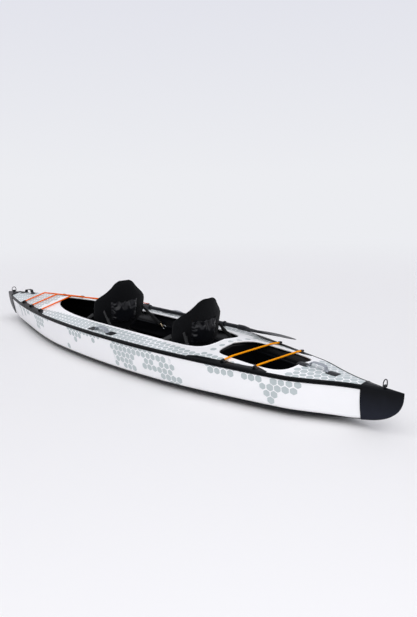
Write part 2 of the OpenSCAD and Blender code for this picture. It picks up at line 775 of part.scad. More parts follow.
// Paddle, lying along the starboard side deck
paddle_z = deck_z(clamp_x, paddle_y) + gap + clamp_r;
blade_root = paddle_tip + blade_length;
fore_tip = paddle_tip + paddle_length;
module on_paddle(x) {
    translate([x, paddle_y, paddle_z]) rotate([0, 90, 0]) children();
}
module tube(h, r, bore) {
    difference() {
        cylinder(h = h, r = r);
        translate([0, 0, -1]) cylinder(h = h + 2, r = bore);
    }
}
// Half-width of a blade along its length, from the throat at 0 to the tip at 1
function blade_half(u) = blade_width / 2 * (u < 0.62 ? 0.2 + 0.8 * ease(u / 0.62)
    : sqrt(max(0, 1 - pow((u - 0.62) / 0.38, 2.6))));
module blade() {
    us = concat(spread(0, 0.62, 7), [for (a = [20:14:90]) 0.62 + 0.38 * sin(a)]);
    edge = [for (u = us) [u * blade_length, blade_half(u)]];
    rotate([blade_tilt, 0, 0]) translate([0, 0, -3]) linear_extrude(6)
        polygon(concat(edge, [for (i = [len(edge) - 1:-1:0]) [edge[i][0], -edge[i][1]]]));
    translate([-throat, 0, 0]) rotate([0, 90, 0]) cylinder(h = throat + 20, r = shaft_r + 4);
    translate([20, 0, 0]) rotate([0, 90, 0]) cylinder(h = 0.55 * blade_length, r1 = shaft_r, r2 = 4);
}
module paddle_blade_aft() {
    color("#16181c") translate([blade_root, paddle_y, paddle_z]) mirror([1, 0, 0]) difference() {
        blade();
        translate([-throat - 1, 0, 0]) rotate([0, 90, 0]) cylinder(h = throat + 1, r = shaft_r + gap);
    }
}
module paddle_shaft() {
    color("#1b1e26") on_paddle(blade_root + gap) {
        tube(clamp_x + clamp_length / 2 - blade_root - gap, shaft_r, inner_shaft_r + gap);
        translate([0, 0, drip_ring_at]) tube(8, shaft_r + 6, shaft_r - 0.5);
    }
}
module paddle_clamp() {
    color("#16181c") on_paddle(clamp_x - clamp_length / 2) difference() {
        union() {
            tube(clamp_length, clamp_r, shaft_r + gap);
            translate([-clamp_r - 8, -9, 20]) cube([14, 18, 24]);
        }
        translate([0, 0, -1]) cylinder(h = clamp_length + 2, r = shaft_r + gap);
        translate([-clamp_r - 10, -5.5, 18]) cube([10, 11, 28]);
        translate([-clamp_r - 4, 0, 32]) rotate([90, 0, 0]) cylinder(h = 40, r = 2 + gap, center = true);
    }
}
lever_x = clamp_x - clamp_length / 2 + 32;
lever_z = paddle_z + clamp_r + 4;
// A cam lever on a cross pin, lying along the shaft when shut
module clamp_lever() {
    color("#e8641b") translate([lever_x, paddle_y, lever_z]) {
        rotate([90, 0, 0]) cylinder(h = 18, r = 2, center = true);
        rotate([90, 0, 0]) cylinder(h = 10, r = 3.5, center = true);
        translate([0, -5, 0]) cube([lever_length, 10, 3.5]);
    }
}
module paddle_upper_shaft() {
    start = clamp_x + clamp_length / 2 - inner_shaft_seat;
    color("#1b1e26") on_paddle(start)
        tube(fore_tip - blade_length - gap - start, inner_shaft_r, inner_shaft_r - 2);
}
module paddle_blade_fore() {
    color("#16181c") translate([fore_tip - blade_length, paddle_y, paddle_z]) difference() {
        blade();
        translate([-throat - 1, 0, 0]) rotate([0, 90, 0]) cylinder(h = throat + 1, r = inner_shaft_r + gap);
    }
}

floor_chamber();
port_side_chamber();
starboard_side_chamber();
foredeck();
aft_deck();
port_side_deck();
starboard_side_deck();
bridge_deck();
bulkhead();
bow_cap();
stern_cap();
port_rub_rail();
starboard_rub_rail();
skeg_box();
valve_bodies();
floor_valve_cap();
port_valve_cap();
starboard_valve_cap();
drain_port();
drain_plug();
ring_lugs();
bow_ring();
stern_ring();
handle_patches();
deck_handles();
side_handles();
fore_tab_strips();
aft_tab_strips();
fore_bungees();
aft_bungees();
seat_anchor_tabs();
seat_anchor_rings();
front_seat_base();
rear_seat_base();
front_backrest();
rear_backrest();
front_pocket();
rear_pocket();
front_seat_straps();
rear_seat_straps();
front_strap_sliders();
rear_strap_sliders();
strap_hooks();
paddle_blade_aft();
paddle_shaft();
paddle_clamp();
clamp_lever();
paddle_upper_shaft();
paddle_blade_fore();
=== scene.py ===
# %% [markdown]
# # A tandem inflatable kayak
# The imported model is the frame: its nodes give the sizes, the places and the joints.
# Every piece below is dressed over that frame, in metres, with +X to the bow and +Y to port.

# %% Load the frame
import math

import bpy
from mathutils import Matrix, Vector, noise


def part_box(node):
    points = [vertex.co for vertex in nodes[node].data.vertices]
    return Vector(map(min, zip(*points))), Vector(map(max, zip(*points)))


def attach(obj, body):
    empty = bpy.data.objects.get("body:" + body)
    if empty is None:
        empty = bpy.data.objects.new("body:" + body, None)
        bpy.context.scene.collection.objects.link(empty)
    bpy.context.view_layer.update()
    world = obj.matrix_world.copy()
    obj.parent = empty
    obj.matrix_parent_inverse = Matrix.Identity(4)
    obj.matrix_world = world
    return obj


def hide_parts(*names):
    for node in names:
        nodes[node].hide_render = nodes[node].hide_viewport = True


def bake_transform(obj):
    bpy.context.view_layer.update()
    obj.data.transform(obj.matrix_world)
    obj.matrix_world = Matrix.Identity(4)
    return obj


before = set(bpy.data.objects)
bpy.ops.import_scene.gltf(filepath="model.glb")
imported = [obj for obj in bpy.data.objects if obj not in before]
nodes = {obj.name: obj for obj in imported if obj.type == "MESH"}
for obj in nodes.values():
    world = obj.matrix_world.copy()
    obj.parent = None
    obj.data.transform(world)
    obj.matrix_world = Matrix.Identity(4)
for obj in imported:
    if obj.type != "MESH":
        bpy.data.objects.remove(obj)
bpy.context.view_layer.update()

# %% [markdown]
# ## The camera
# The photograph looks down on the port quarter of the stern. A camera is placed by its position and by
# the three axes of its own frame, which is easier to match to a picture than three angles.

# %% Place the camera
CAMERA_PLACE = Vector((-3.575, 2.752, 1.345))
CAMERA_LOOK = Vector((0.70385, -0.67766, -0.21301))
CAMERA_RIGHT = Vector((-0.69624, -0.71760, -0.01768))
CAMERA_LENS = 35.92

bpy.ops.object.select_all(action="DESELECT")
bpy.ops.object.camera_add()
camera = bpy.context.object
camera_up = CAMERA_RIGHT.cross(CAMERA_LOOK)
turn = Matrix((CAMERA_RIGHT, camera_up, -CAMERA_LOOK)).transposed()
camera.matrix_world = Matrix.Translation(CAMERA_PLACE) @ turn.to_4x4()
camera.data.lens = CAMERA_LENS
bpy.context.scene.camera = camera
print("camera at", tuple(CAMERA_PLACE))

# %% [markdown]
# ## Light and floor
# Soft, even studio light: a pale world, a broad sun above and a soft lamp above and behind the camera.
# The floor is a large pale sheet that takes the shadow. A real studio hides the horizon with a curved
# paper roll. Here the floor fades, for the camera alone, to the colour that the world has at eye level.

# %% Helpers for colours and nodes
def ink(code):
    """A colour written as sRGB hex, as the linear RGBA that a shader socket takes."""
    parts = [int(code[k : k + 2], 16) / 255 for k in (1, 3, 5)]
    linear = [p / 12.92 if p <= 0.04045 else ((p + 0.055) / 1.055) ** 2.4 for p in parts]
    return (*linear, 1.0)


def add(tree, kind, inputs=None, **settings):
    """Adds a shader node. inputs maps a socket to a value or to another node's output."""
    new = tree.nodes.new("ShaderNode" + kind)
    for key, value in settings.items():
        setattr(new, key, value)
    for socket, value in (inputs or {}).items():
        if isinstance(value, bpy.types.NodeSocket):
            tree.links.new(value, new.inputs[socket])
        else:
            new.inputs[socket].default_value = value
    return new


def blank(name, colour, roughness, **sockets):
    """A new material, its node tree and its main shader with the plain values set."""
    material = bpy.data.materials.new(name)
    material.use_nodes = True
    shader = material.node_tree.nodes["Principled BSDF"]
    shader.inputs["Base Color"].default_value = ink(colour)
    shader.inputs["Roughness"].default_value = roughness
    for socket, value in sockets.items():
        shader.inputs[socket.replace("_", " ")].default_value = value
    return material, material.node_tree, shader


def maths(tree, operation, *values):
    """What a Math node gives."""
    return add(tree, "Math", dict(enumerate(values)), operation=operation).outputs[0]


def vector(tree, operation, *values):
    """What a VectorMath node gives, which is a number for a length or a dot product."""
    new = add(tree, "VectorMath", dict(enumerate(values)), operation=operation)
    return new.outputs["Value" if operation in ("LENGTH", "DOT_PRODUCT") else "Vector"]


def speckle(tree, place, scale, detail, **more):
    """Noise from 0 to 1."""
    return add(tree, "TexNoise", {"Vector": place, "Scale": scale, "Detail": detail, **more}).outputs["Fac"]


def threads(tree, place, period, way):
    """Waves along one axis with a real period, in metres, as the threads of a weave have."""
    sockets = {"Vector": place, "Scale": math.pi / 10 / period}
    return add(tree, "TexWave", sockets, bands_direction=way).outputs["Fac"]


def tint(tree, shader, share, first, second):
    """Colours the shader between two colours."""
    mixed = add(tree, "MixRGB", {"Fac": share, "Color1": ink(first), "Color2": ink(second)})
    tree.links.new(mixed.outputs[0], shader.inputs["Base Color"])


def polish(tree, shader, share, low, high):
    """Varies the shader's roughness between two values."""
    level = add(tree, "MapRange", {"Value": share, "To Min": low, "To Max": high})
    tree.links.new(level.outputs[0], shader.inputs["Roughness"])


def emboss(tree, shader, height, strength, distance, **more):
    """Gives the shader a bump."""
    bump = add(tree, "Bump", {"Height": height, "Strength": strength, "Distance": distance, **more})
    tree.links.new(bump.outputs[0], shader.inputs["Normal"])


def grained(name, colour, roughness, scale, detail, strength, distance, **sockets):
    """A moulded or extruded material with a fine grain, which breaks up its highlights."""
    material, tree, shader = blank(name, colour, roughness, **sockets)
    place = add(tree, "TexCoord").outputs["Object"]
    emboss(tree, shader, speckle(tree, place, scale, detail), strength, distance)
    return material


# %% Floor, lamps and world
bpy.context.scene.view_settings.view_transform = "Standard"

HIGH_COLOUR = "#e3e4ec"
EYE_COLOUR = "#ecedf1"
FLOOR_COLOUR = "#f0efef"
WORLD_STRENGTH = 0.72
HIGH_AT = 0.25
FADE = (3.4, 9.0)
FLOOR_SIZE = 80

world = bpy.data.worlds.new("studio")
world.use_nodes = True
bpy.context.scene.world = world
tree = world.node_tree
sky = tree.nodes["Background"]
height = add(tree, "SeparateXYZ", {0: add(tree, "TexCoord").outputs["Generated"]}).outputs["Z"]
rise = add(tree, "MapRange", {"Value": height, "From Max": HIGH_AT}).outputs[0]
shade = add(tree, "MixRGB", {"Fac": rise, "Color1": ink(EYE_COLOUR), "Color2": ink(HIGH_COLOUR)})
tree.links.new(shade.outputs[0], sky.inputs["Color"])
seen = add(tree, "LightPath").outputs
direct = maths(tree, "MAXIMUM", seen["Is Camera Ray"], seen["Is Glossy Ray"])
level = add(tree, "MapRange", {"Value": direct, "To Min": WORLD_STRENGTH, "To Max": 1.0})
tree.links.new(level.outputs[0], sky.inputs["Strength"])

bpy.ops.object.select_all(action="DESELECT")
bpy.ops.mesh.primitive_plane_add(size=FLOOR_SIZE)
floor = bpy.context.object
floor.name = "floor"
paper, tree, shader = blank("Seamless paper floor", FLOOR_COLOUR, 0.7, Specular_IOR_Level=0.2)
far = vector(tree, "LENGTH", add(tree, "TexCoord").outputs["Object"])
fade = add(tree, "MapRange", {"Value": far, "From Min": FADE[0], "From Max": FADE[1]},
    interpolation_type="SMOOTHSTEP").outputs[0]
share = maths(tree, "MULTIPLY", fade, add(tree, "LightPath").outputs["Is Camera Ray"])
glow = add(tree, "Emission", {"Color": ink(EYE_COLOUR)}).outputs[0]
blend = add(tree, "MixShader", {0: share, 1: shader.outputs[0], 2: glow})
tree.links.new(blend.outputs[0], tree.nodes["Material Output"].inputs["Surface"])
floor.data.materials.append(paper)


def lamp(name, kind, place, aim, power, **settings):
    """A soft lamp at a place, turned to its aim."""
    bpy.ops.object.light_add(type=kind, location=place)
    new = bpy.context.object
    new.name = name
    new.data.energy = power
    for key, value in settings.items():
        setattr(new.data, key, value)
    new.rotation_euler = (Vector(aim) - Vector(place)).to_track_quat("-Z", "Y").to_euler()


lamp("top_light", "SUN", (-1.2, 1.6, 4.2), (0, 0, 0), 1.25, angle=math.radians(70))
lamp("camera_light", "AREA", (-4.5, 3.2, 2.6), (-0.4, 0, 0.2), 40, size=2.5)
print("lamps and floor set")

# %% [markdown]
# ## The hull lines
# An inflatable hull is a few smooth lines: the sheer where deck meets side, the chine where side meets
# bottom, and the keel. The frame was drawn from formulas for these lines, and most skins repeat them,
# because a skin that follows the same lines fits the frame with no adjustment. The bow is finer here
# than in the frame, the foot of each cap is squarer and the inner walls are rounder. All of these lie
# inside the frame's solids.

# %% Lines of the hull
HALF_LENGTH = 2.135
BEAM = 0.808
SHEER_HEIGHT = 0.262
SHEER_DROP = 0.022
SHEER_DIP = 0.008
AFT_TAPER = 0.05
STERN_FINENESS = 0.53
PLAN_POWER = 2.1
CHINE_SHARE = 0.908
BAND_HEIGHT = 0.046
BAND_RISE = 0.006
ROCKER = 0.092
BOW_ROCKER = 0.125
BOW_FLARE = 0.28
ROCKER_START = 0.55
STEM_LENGTH = 0.220
STEM_HEIGHT = 0.160
STEM_SQUARE = 2.8
STEM_TOP = 0.012
BILGE = 0.62
SIDE_BULGE = 0.005
BULGE_REACH = 0.88
CROWN_AFT = 0.115
CROWN_FORE = 0.24
DECK_T = 0.004
FLOOR_HEIGHT = 0.085
INNER_HALF = 0.256
INNER_REACH = 1.930
WALL_BULGE = 0.009
WALL_TUCK = 0.040
HANDS = ((1, "port"), (-1, "starboard"))


def clamp(value):
    return max(0.0, min(1.0, value))


def ease(u):
    v = clamp(u)
    return v * v * (3 - 2 * v)


def mix(a, b, share):
    return a + (b - a) * share


def reach(x):
    return min(1.0, abs(x) / HALF_LENGTH)


def aft(x):
    return reach(x) if x < 0 else 0.0


def fore(x):
    return reach(x) if x > 0 else 0.0


def sheer_y(x):
    """Half breadth of the deck: full forward, leaner aft, and fine where the stern ends."""
    fine = 1 - AFT_TAPER * ease((aft(x) - 0.3) / 0.3) - STERN_FINENESS * ease((aft(x) - 0.7) / 0.23)
    return BEAM / 2 * (1 - reach(x) ** PLAN_POWER) * fine


def sheer_z(x):
    dip = SHEER_DIP * ease((aft(x) - 0.3) / 0.4) * (1 - ease((aft(x) - 0.75) / 0.17))
    return SHEER_HEIGHT - SHEER_DROP * reach(x) ** 2 - dip


def keel_z(x):
    foot = clamp((abs(x) - HALF_LENGTH + STEM_LENGTH) / STEM_LENGTH)
    rise = max(0.0, (reach(x) - ROCKER_START) / (1 - ROCKER_START)) ** 2.2
    stem = STEM_HEIGHT * (1 - (1 - foot**STEM_SQUARE) ** (1 / STEM_SQUARE))
    return min((BOW_ROCKER if x > 0 else ROCKER) * rise + stem, sheer_z(x) - STEM_TOP)


def chine_y(x):
    """Half breadth at the chine, which is narrower under a flared bow."""
    return (CHINE_SHARE - BOW_FLARE * ease((fore(x) - 0.3) / 0.7)) * sheer_y(x)


def chine_z(x):
    return max(BAND_HEIGHT + BAND_RISE * reach(x) ** 2, keel_z(x) + 0.008)


def deck_z(x, y):
    crown = CROWN_AFT + (CROWN_FORE - CROWN_AFT) * ease((x - 0.2) / 0.8)
    return sheer_z(x) + crown * (sheer_y(x) - abs(y))


def side_y(x, share):
    bulge = 4 * SIDE_BULGE * share * (1 - share) * max(0.0, 1 - (reach(x) / BULGE_REACH) ** 2)
    return mix(chine_y(x), sheer_y(x), share) + bulge


def side_z(x, share):
    return mix(chine_z(x), sheer_z(x) - DECK_T, share)


def floor_z(x):
    return FLOOR_HEIGHT + 0.6 * keel_z(x)


def wall_y(x):
    return max(0.0003, INNER_HALF * (1 - (abs(x) / INNER_REACH) ** 3.4))


def wall_face(x, share):
    """Half breadth of an inner wall: blown towards the paddler, and tucked back under the deck."""
    swell = WALL_BULGE * math.sin(math.pi * share) ** 0.7
    tuck = WALL_TUCK * max(0.0, 2 * share - 1) ** 2 * clamp((sheer_y(x) - wall_y(x)) / 0.1)
    return max(0.0005, wall_y(x) - swell + tuck)


def wall_mid_y(x):
    return wall_y(x) - WALL_BULGE


def wall_mid_z(x):
    return (floor_z(x) + deck_z(x, wall_y(x)) - DECK_T) / 2


COCKPIT = (-0.862, 1.050)
COCKPIT_HALF = 0.247
WELL = (-1.488, -0.940)
WELL_HALF = 0.192


def cockpit_y(x):
    u = (2 * x - sum(COCKPIT)) / (COCKPIT[1] - COCKPIT[0])
    if u > 0:
        return COCKPIT_HALF * math.sqrt(max(0.0, 1 - u**3.2))
    return COCKPIT_HALF * (1 - 0.12 * u * u) * max(0.0, 1 - abs(u) ** 14) ** 0.25


def well_y(x):
    u = (2 * x - sum(WELL)) / (WELL[1] - WELL[0])
    waist = 1.0 if u > 0 else 1 - 0.2 * u * u
    return WELL_HALF * waist * max(0.0, 1 - abs(u) ** 8) ** 0.3


def opening_y(x):
    """Half width of the hole in the deck at x, which is nothing on the closed decks."""
    if COCKPIT[0] < x < COCKPIT[1]:
        return cockpit_y(x)
    if WELL[0] < x < WELL[1]:
        return well_y(x)
    return 0.0


print("half breadth amidships", round(sheer_y(0), 3))

# %% [markdown]
# ## Skins and sweeps
# Two helpers make most of the soft pieces. A skin is a grid whose points are laid on the hull lines.
# A sweep is a grid wrapped round a path, as a cord, a strap or a hem is. Both start from Blender's own
# grid primitive, which brings a UV map with it, so a weave or a print can follow the surface.

# %% Helpers that make a mesh
def only(piece):
    """Selects one piece alone and makes it the active one."""
    bpy.ops.object.select_all(action="DESELECT")
    piece.select_set(True)
    bpy.context.view_layer.objects.active = piece


def edit(piece, *steps):
    """Runs edit-mode operators, each a function, on everything in one piece."""
    only(piece)
    bpy.ops.object.mode_set(mode="EDIT")
    bpy.ops.mesh.select_all(action="SELECT")
    for step in steps:
        step()
    bpy.ops.object.mode_set(mode="OBJECT")


def merge(reach):
    """A step that merges points closer than reach."""
    return lambda: bpy.ops.mesh.remove_doubles(threshold=reach)


def turn_out():
    """A step that turns the faces outwards."""
    bpy.ops.mesh.normals_make_consistent(inside=False)


def join(first, *others):
    """Makes the other pieces part of the first."""
    only(first)
    for other in others:
        other.select_set(True)
    bpy.ops.object.join()
    return first


def smooth(piece):
    only(piece)
    bpy.ops.object.shade_smooth()


def apply(piece, kind, **settings):
    """Adds a modifier and applies it at once."""
    only(piece)
    modifier = piece.modifiers.new(kind.lower(), kind)
    for key, value in settings.items():
        setattr(modifier, key, value)
    bpy.ops.object.modifier_apply(modifier=modifier.name)


def close(piece):
    """Merges the seam of a wrapped grid, fills its open ends and turns its faces outwards."""
    def fill_ends():
        bpy.ops.mesh.select_all(action="DESELECT")
        bpy.ops.mesh.select_non_manifold()
        bpy.ops.mesh.fill_holes(sides=0)
        bpy.ops.mesh.select_all(action="SELECT")

    edit(piece, merge(1e-6), fill_ends, turn_out)


def skin(name, columns, rows, lay, outward):
    """A grid laid by lay(u, v), with u and v from 0 to 1, its faces turned to the outward side."""
    bpy.ops.object.select_all(action="DESELECT")
    bpy.ops.mesh.primitive_grid_add(x_subdivisions=columns, y_subdivisions=rows, size=2)
    piece = bpy.context.object
    piece.name = name
    for vertex in piece.data.vertices:
        vertex.co = lay((vertex.co.x + 1) / 2, (vertex.co.y + 1) / 2)
    piece.data.update()
    facing = sum((p.normal * p.area for p in piece.data.polygons), Vector())
    if facing.dot(Vector(outward)) < 0:
        edit(piece, bpy.ops.mesh.flip_normals)
    bpy.ops.object.shade_smooth()
    return piece


def flat_map(piece, across):
    """Sets the UV map in metres from each point's own place, so that a print keeps its real size."""
    layer = piece.data.uv_layers.active.data
    for corner in piece.data.loops:
        layer[corner.index].uv = across(piece.data.vertices[corner.vertex_index].co)


def smooth_path(points, steps):
    """A smooth curve through a few points, with steps pieces between each pair."""
    points = [Vector(p) for p in points]
    ends = [2 * points[0] - points[1], *points, 2 * points[-1] - points[-2]]
    path = []
    for a, b, c, d in zip(ends, ends[1:], ends[2:], ends[3:]):
        for k in range(steps):
            t = k / steps
            path.append(0.5 * (2 * b + (c - a) * t + (2 * a - 5 * b + 4 * c - d) * t * t
                + (3 * b - a - 3 * c + d) * t**3))
    return [*path, points[-1]]


def ring(radius, sides=12):
    """The round section of a cord."""
    turns = [2 * math.pi * k / sides for k in range(sides)]
    return [(radius * math.cos(t), radius * math.sin(t)) for t in turns]


def band(width, thickness):
    """The flat section of a strap, with its edges eased."""
    w, t = width / 2, thickness / 2
    e = 0.7 * t
    return [(-w, -t + e), (-w + e, -t), (0, -t), (w - e, -t), (w, -t + e), (w, t - e), (w - e, t),
        (0, t), (-w + e, t), (-w, t - e)]


def sweep(name, path, section, up=(0, 0, 1), across=None, loop=False, swell=None):
    """Wraps a section round a path. Its second axis stays towards up, or its first stays across.
    swell scales the section at each point of the path."""
    path = [Vector(p) for p in path]
    count = len(path)
    up = Vector(up)
    swell = swell or [1.0] * count
    frames = []
    length = [0.0]
    for k, here in enumerate(path):
        if loop:
            along = path[(k + 1) % count] - path[k - 1]
        else:
            along = path[min(k + 1, count - 1)] - path[max(k - 1, 0)]
        aside = Vector(across) if across else up.cross(along).normalized()
        frames.append((here, aside, along.cross(aside).normalized(), swell[k]))
        length.append(length[-1] + (path[(k + 1) % count] - here).length)
    columns = count if loop else count - 1

    def lay(u, v):
        here, aside, above, size = frames[round(u * columns) % count]
        a, b = section[round(v * len(section)) % len(section)]
        return here + (aside * a + above * b) * size

    piece = skin(name, columns, len(section), lay, (0, 0, 1))
    girth = sum((Vector(a) - Vector(b)).length for a, b in zip(section, section[1:] + section[:1]))
    layer = piece.data.uv_layers.active.data
    for corner in layer:
        corner.uv = (length[round(corner.uv.x * columns)], corner.uv.y * girth)
    close(piece)
    return piece


def dress(piece, material):
    piece.data.materials.clear()
    piece.data.materials.append(material)


def settle(piece, body, slot, material, *replaced):
    """Gives a finished piece its material, its body and the nodes that it stands for. The slot is not used.
    """
    dress(piece, material)
    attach(piece, body)
    if replaced:
        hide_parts(*replaced)
    return piece


# %% [markdown]
# ## Coated fabric
# The hull is polyester cloth coated with PVC. The coat is smooth and satin, and the cloth under it shows
# as a faint square grain. The white panels carry a pale print of rounded hexagons in loose clusters.
# The hexagons are worked out in the shader from the UV map, which is in metres.

# %% White and black coated fabric
SCRIM = 0.0035
CELL = 0.046
CELL_SIZE = (0.40, 0.475)
CELL_ROUND = 0.92
CELL_EDGE = 0.02
WHITE = "#f6f6f7"
PRINT_COLOUR = "#bcc5c6"
CLEAR = ((0.094, 1.0, 0.276), (-1.214, 0.29, 0.208))
SIDE_CLEAR = ((-1.80, 0.20, 1.0), (1.80, 0.20, 1.0))


def scrim_bump(tree, shader, place, strength, ripple):
    """The square grain of the cloth, drawn about three times coarser than real so that it shows."""
    weave = maths(tree, "ADD", threads(tree, place, SCRIM, "X"), threads(tree, place, SCRIM, "Y"))
    fine = add(tree, "Bump", {"Height": weave, "Strength": strength, "Distance": 0.0004})
    emboss(tree, shader, speckle(tree, place, 9.0, 2.0), ripple, 0.01, Normal=fine.outputs[0])


def white_fabric(name, cover, climb=0.0, clear=()):
    """White coated cloth with hexagons printed on the given share of it, or more towards the top. No
    hexagon has its middle in one of the clear boxes, given by a place along, and two half sizes."""
    material, tree, shader = blank(name, WHITE, 0.36, Specular_IOR_Level=0.4)
    place = add(tree, "TexCoord").outputs["UV"]
    half = (0.5, math.sqrt(3) / 2, 0.5)
    low = tuple(-v for v in half)
    step = (*half[:2], 0)
    scaled = add(tree, "VectorMath", {0: place, "Scale": 1 / CELL}, operation="SCALE").outputs[0]
    even = vector(tree, "WRAP", scaled, half, low)
    odd = vector(tree, "WRAP", vector(tree, "SUBTRACT", scaled, step), half, low)
    nearer = maths(tree, "GREATER_THAN", vector(tree, "LENGTH", even), vector(tree, "LENGTH", odd))
    offset = add(tree, "Mix", {0: nearer, 4: even, 5: odd}, data_type="VECTOR").outputs[1]
    size = vector(tree, "ABSOLUTE", offset)
    flat = add(tree, "SeparateXYZ", {0: size}).outputs["X"]
    hexagon = maths(tree, "MAXIMUM", flat, vector(tree, "DOT_PRODUCT", size, step))
    rounded = maths(tree, "MULTIPLY", vector(tree, "LENGTH", offset), CELL_ROUND)
    edge = maths(tree, "MAXIMUM", hexagon, rounded)
    centre = vector(tree, "SUBTRACT", scaled, offset)
    whole = vector(tree, "SNAP", centre, half)
    chance = add(tree, "TexWhiteNoise", {"Vector": whole}).outputs["Value"]
    limit = add(tree, "MapRange", {"Value": chance, "To Min": CELL_SIZE[0], "To Max": CELL_SIZE[1]})
    spare = maths(tree, "SUBTRACT", limit.outputs[0], edge)
    inside = add(tree, "MapRange", {"Value": spare, "From Max": CELL_EDGE}).outputs[0]
    middle = add(tree, "VectorMath", {0: centre, "Scale": CELL}, operation="SCALE").outputs[0]
    up = add(tree, "SeparateXYZ", {0: middle}).outputs["Y"]
    ragged = maths(tree, "MULTIPLY_ADD", chance, 0.12, speckle(tree, centre, 0.15, 1.0))
    lifted = maths(tree, "MULTIPLY_ADD", up, climb, ragged)
    printed = maths(tree, "GREATER_THAN", lifted, 1 - cover)
    for at, half_long, half_wide in clear:
        away = vector(tree, "ABSOLUTE", vector(tree, "SUBTRACT", middle, (at, 0, 0)))
        past = vector(tree, "SUBTRACT", away, (half_long, half_wide, 1))
        past = add(tree, "SeparateXYZ", {0: past}).outputs
        outside = maths(tree, "GREATER_THAN", maths(tree, "MAXIMUM", past["X"], past["Y"]), 0.0)
        printed = maths(tree, "MULTIPLY", printed, outside)
    tint(tree, shader, maths(tree, "MULTIPLY", inside, printed), WHITE, PRINT_COLOUR)
    scrim_bump(tree, shader, place, 0.12, 0.05)
    return material


def black_fabric(name, colour, roughness, gloss):
    """Black coated cloth: the same grain, with a glossier coat that shows soft creases."""
    material, tree, shader = blank(name, colour, roughness, Specular_IOR_Level=gloss)
    place = add(tree, "TexCoord").outputs["Object"]
    polish(tree, shader, speckle(tree, place, 22.0, 4.0), roughness - 0.06, roughness + 0.1)
    scrim_bump(tree, shader, place, 0.2, 0.12)
    return material


white_deck = white_fabric("PVC coated polyester, white deck", 0.68, clear=CLEAR)
white_side = white_fabric("PVC coated polyester, white side", 0.27, climb=0.8, clear=SIDE_CLEAR)
white_plain = white_fabric("PVC coated polyester, plain white", -1.0)
black_hull = black_fabric("PVC coated polyester, black", "#0e1014", 0.36, 0.14)
black_inside = black_fabric("PVC coated polyester, black lining", "#07080c", 0.30, 0.40)

# %% [markdown]
# ## Bottom, sides and lining
# The hull is welded from panels: a black bottom that turns up round the chine, a white panel on each
# side, and a black lining of floor and inner walls. Each panel is one skin with a real thickness.

# %% Weld the hull panels
PANEL_END = 1.925
PANEL_T = 0.0012
WALL_END = 1.90
TAPE_END = 1.75
TAPE_SHARES = (0.47, 0.60)
TAPE_T = 0.0008
FLOOR_END = 1.88
FLOOR_TUBES = 5
VALLEY = 0.014


def along(u):
    return mix(-PANEL_END, PANEL_END, u)


def bottom_lay(u, v):
    """Across the bottom from one chine to the other: a round bilge, then a flat."""
    x = along(u)
    low = keel_z(x)
    beam = chine_y(x)
    share = abs(2 * v - 1)
    side = 1 if v > 0.5 else -1
    if share < 0.5:
        return (x, side * beam * 2 * BILGE * share, low)
    t = (share - 0.5) * math.pi
    half = beam * (BILGE + (1 - BILGE) * math.sin(t))
    return (x, side * half, mix(low, chine_z(x), 1 - math.cos(t)))


bottom = skin("bottom_panel", 140, 40, bottom_lay, (0, 0, -1))
apply(bottom, "SOLIDIFY", thickness=PANEL_T, offset=-1)
settle(bottom, "hull", "black_pvc", black_hull)

for side, word in HANDS:
    outer = skin(f"{word}_side_panel", 160, 16,
        lambda u, v: (along(u), side * side_y(along(u), v), side_z(along(u), v)), (0, side, 0))
    flat_map(outer, lambda p: (p.x, p.z))
    apply(outer, "SOLIDIFY", thickness=PANEL_T, offset=-1)
    settle(outer, "hull", "white_pvc", white_side, f"{word}_side_chamber")

    def wall_lay(u, v):
        """An inner wall, blown out towards the paddler between floor and deck."""
        x = mix(-WALL_END, WALL_END, u)
        y = wall_face(x, v)
        return (x, side * y, mix(floor_z(x) + 0.0005, deck_z(x, y) - DECK_T, v))

    wall = skin(f"{word}_inner_wall", 120, 14, wall_lay, (0, -side, 0))
    apply(wall, "SOLIDIFY", thickness=PANEL_T, offset=-1)
    settle(wall, "hull", "black_pvc", black_inside)

    def tape_lay(u, v):
        x = mix(-TAPE_END, TAPE_END, u)
        share = mix(*TAPE_SHARES, v)
        y = wall_face(x, share)
        return (x, side * (y - 0.0004), mix(floor_z(x), deck_z(x, y) - DECK_T, share))

    tape = skin(f"{word}_seam_tape", 90, 2, tape_lay, (0, -side, 0))
    apply(tape, "SOLIDIFY", thickness=TAPE_T, offset=1)
    settle(tape, "hull", "black_pvc", black_hull)


def floor_lay(u, v):
    """The floor: long tubes side by side, with a valley at each weld."""
    x = mix(-FLOOR_END, FLOOR_END, u)
    y = wall_y(x) * (2 * v - 1)
    tube = abs(math.sin(math.pi * FLOOR_TUBES * v)) ** 0.6
    return (x, y, floor_z(x) - VALLEY * (1 - tube))


lining = skin("floor_lining", 90, 60, floor_lay, (0, 0, 1))
apply(lining, "SOLIDIFY", thickness=PANEL_T, offset=-1)
settle(lining, "hull", "black_pvc", black_inside, "floor_chamber")
print("panels", [len(o.data.polygons) for o in (bottom, outer, wall, lining)])

# %% [markdown]
# ## The deck
# One white skin covers the boat from cap to cap, with a hole for the cockpit and one for the well.
# Each half is a grid between the edge of the hole and the sheer, with its stations crowded where the
# holes turn. The halves are joined along the ridge, and a round hem is welded into each hole.

# %% Stretch the deck
DECK_END = 1.925
HEM_R = 0.0065
HEM_SUNK = 0.004


def stations(start, end, steps, crowded):
    """Places along the boat, evenly or crowded towards both ends."""
    for k in range(steps):
        share = k / steps
        yield mix(start, end, 0.5 - 0.5 * math.cos(math.pi * share) if crowded else share)


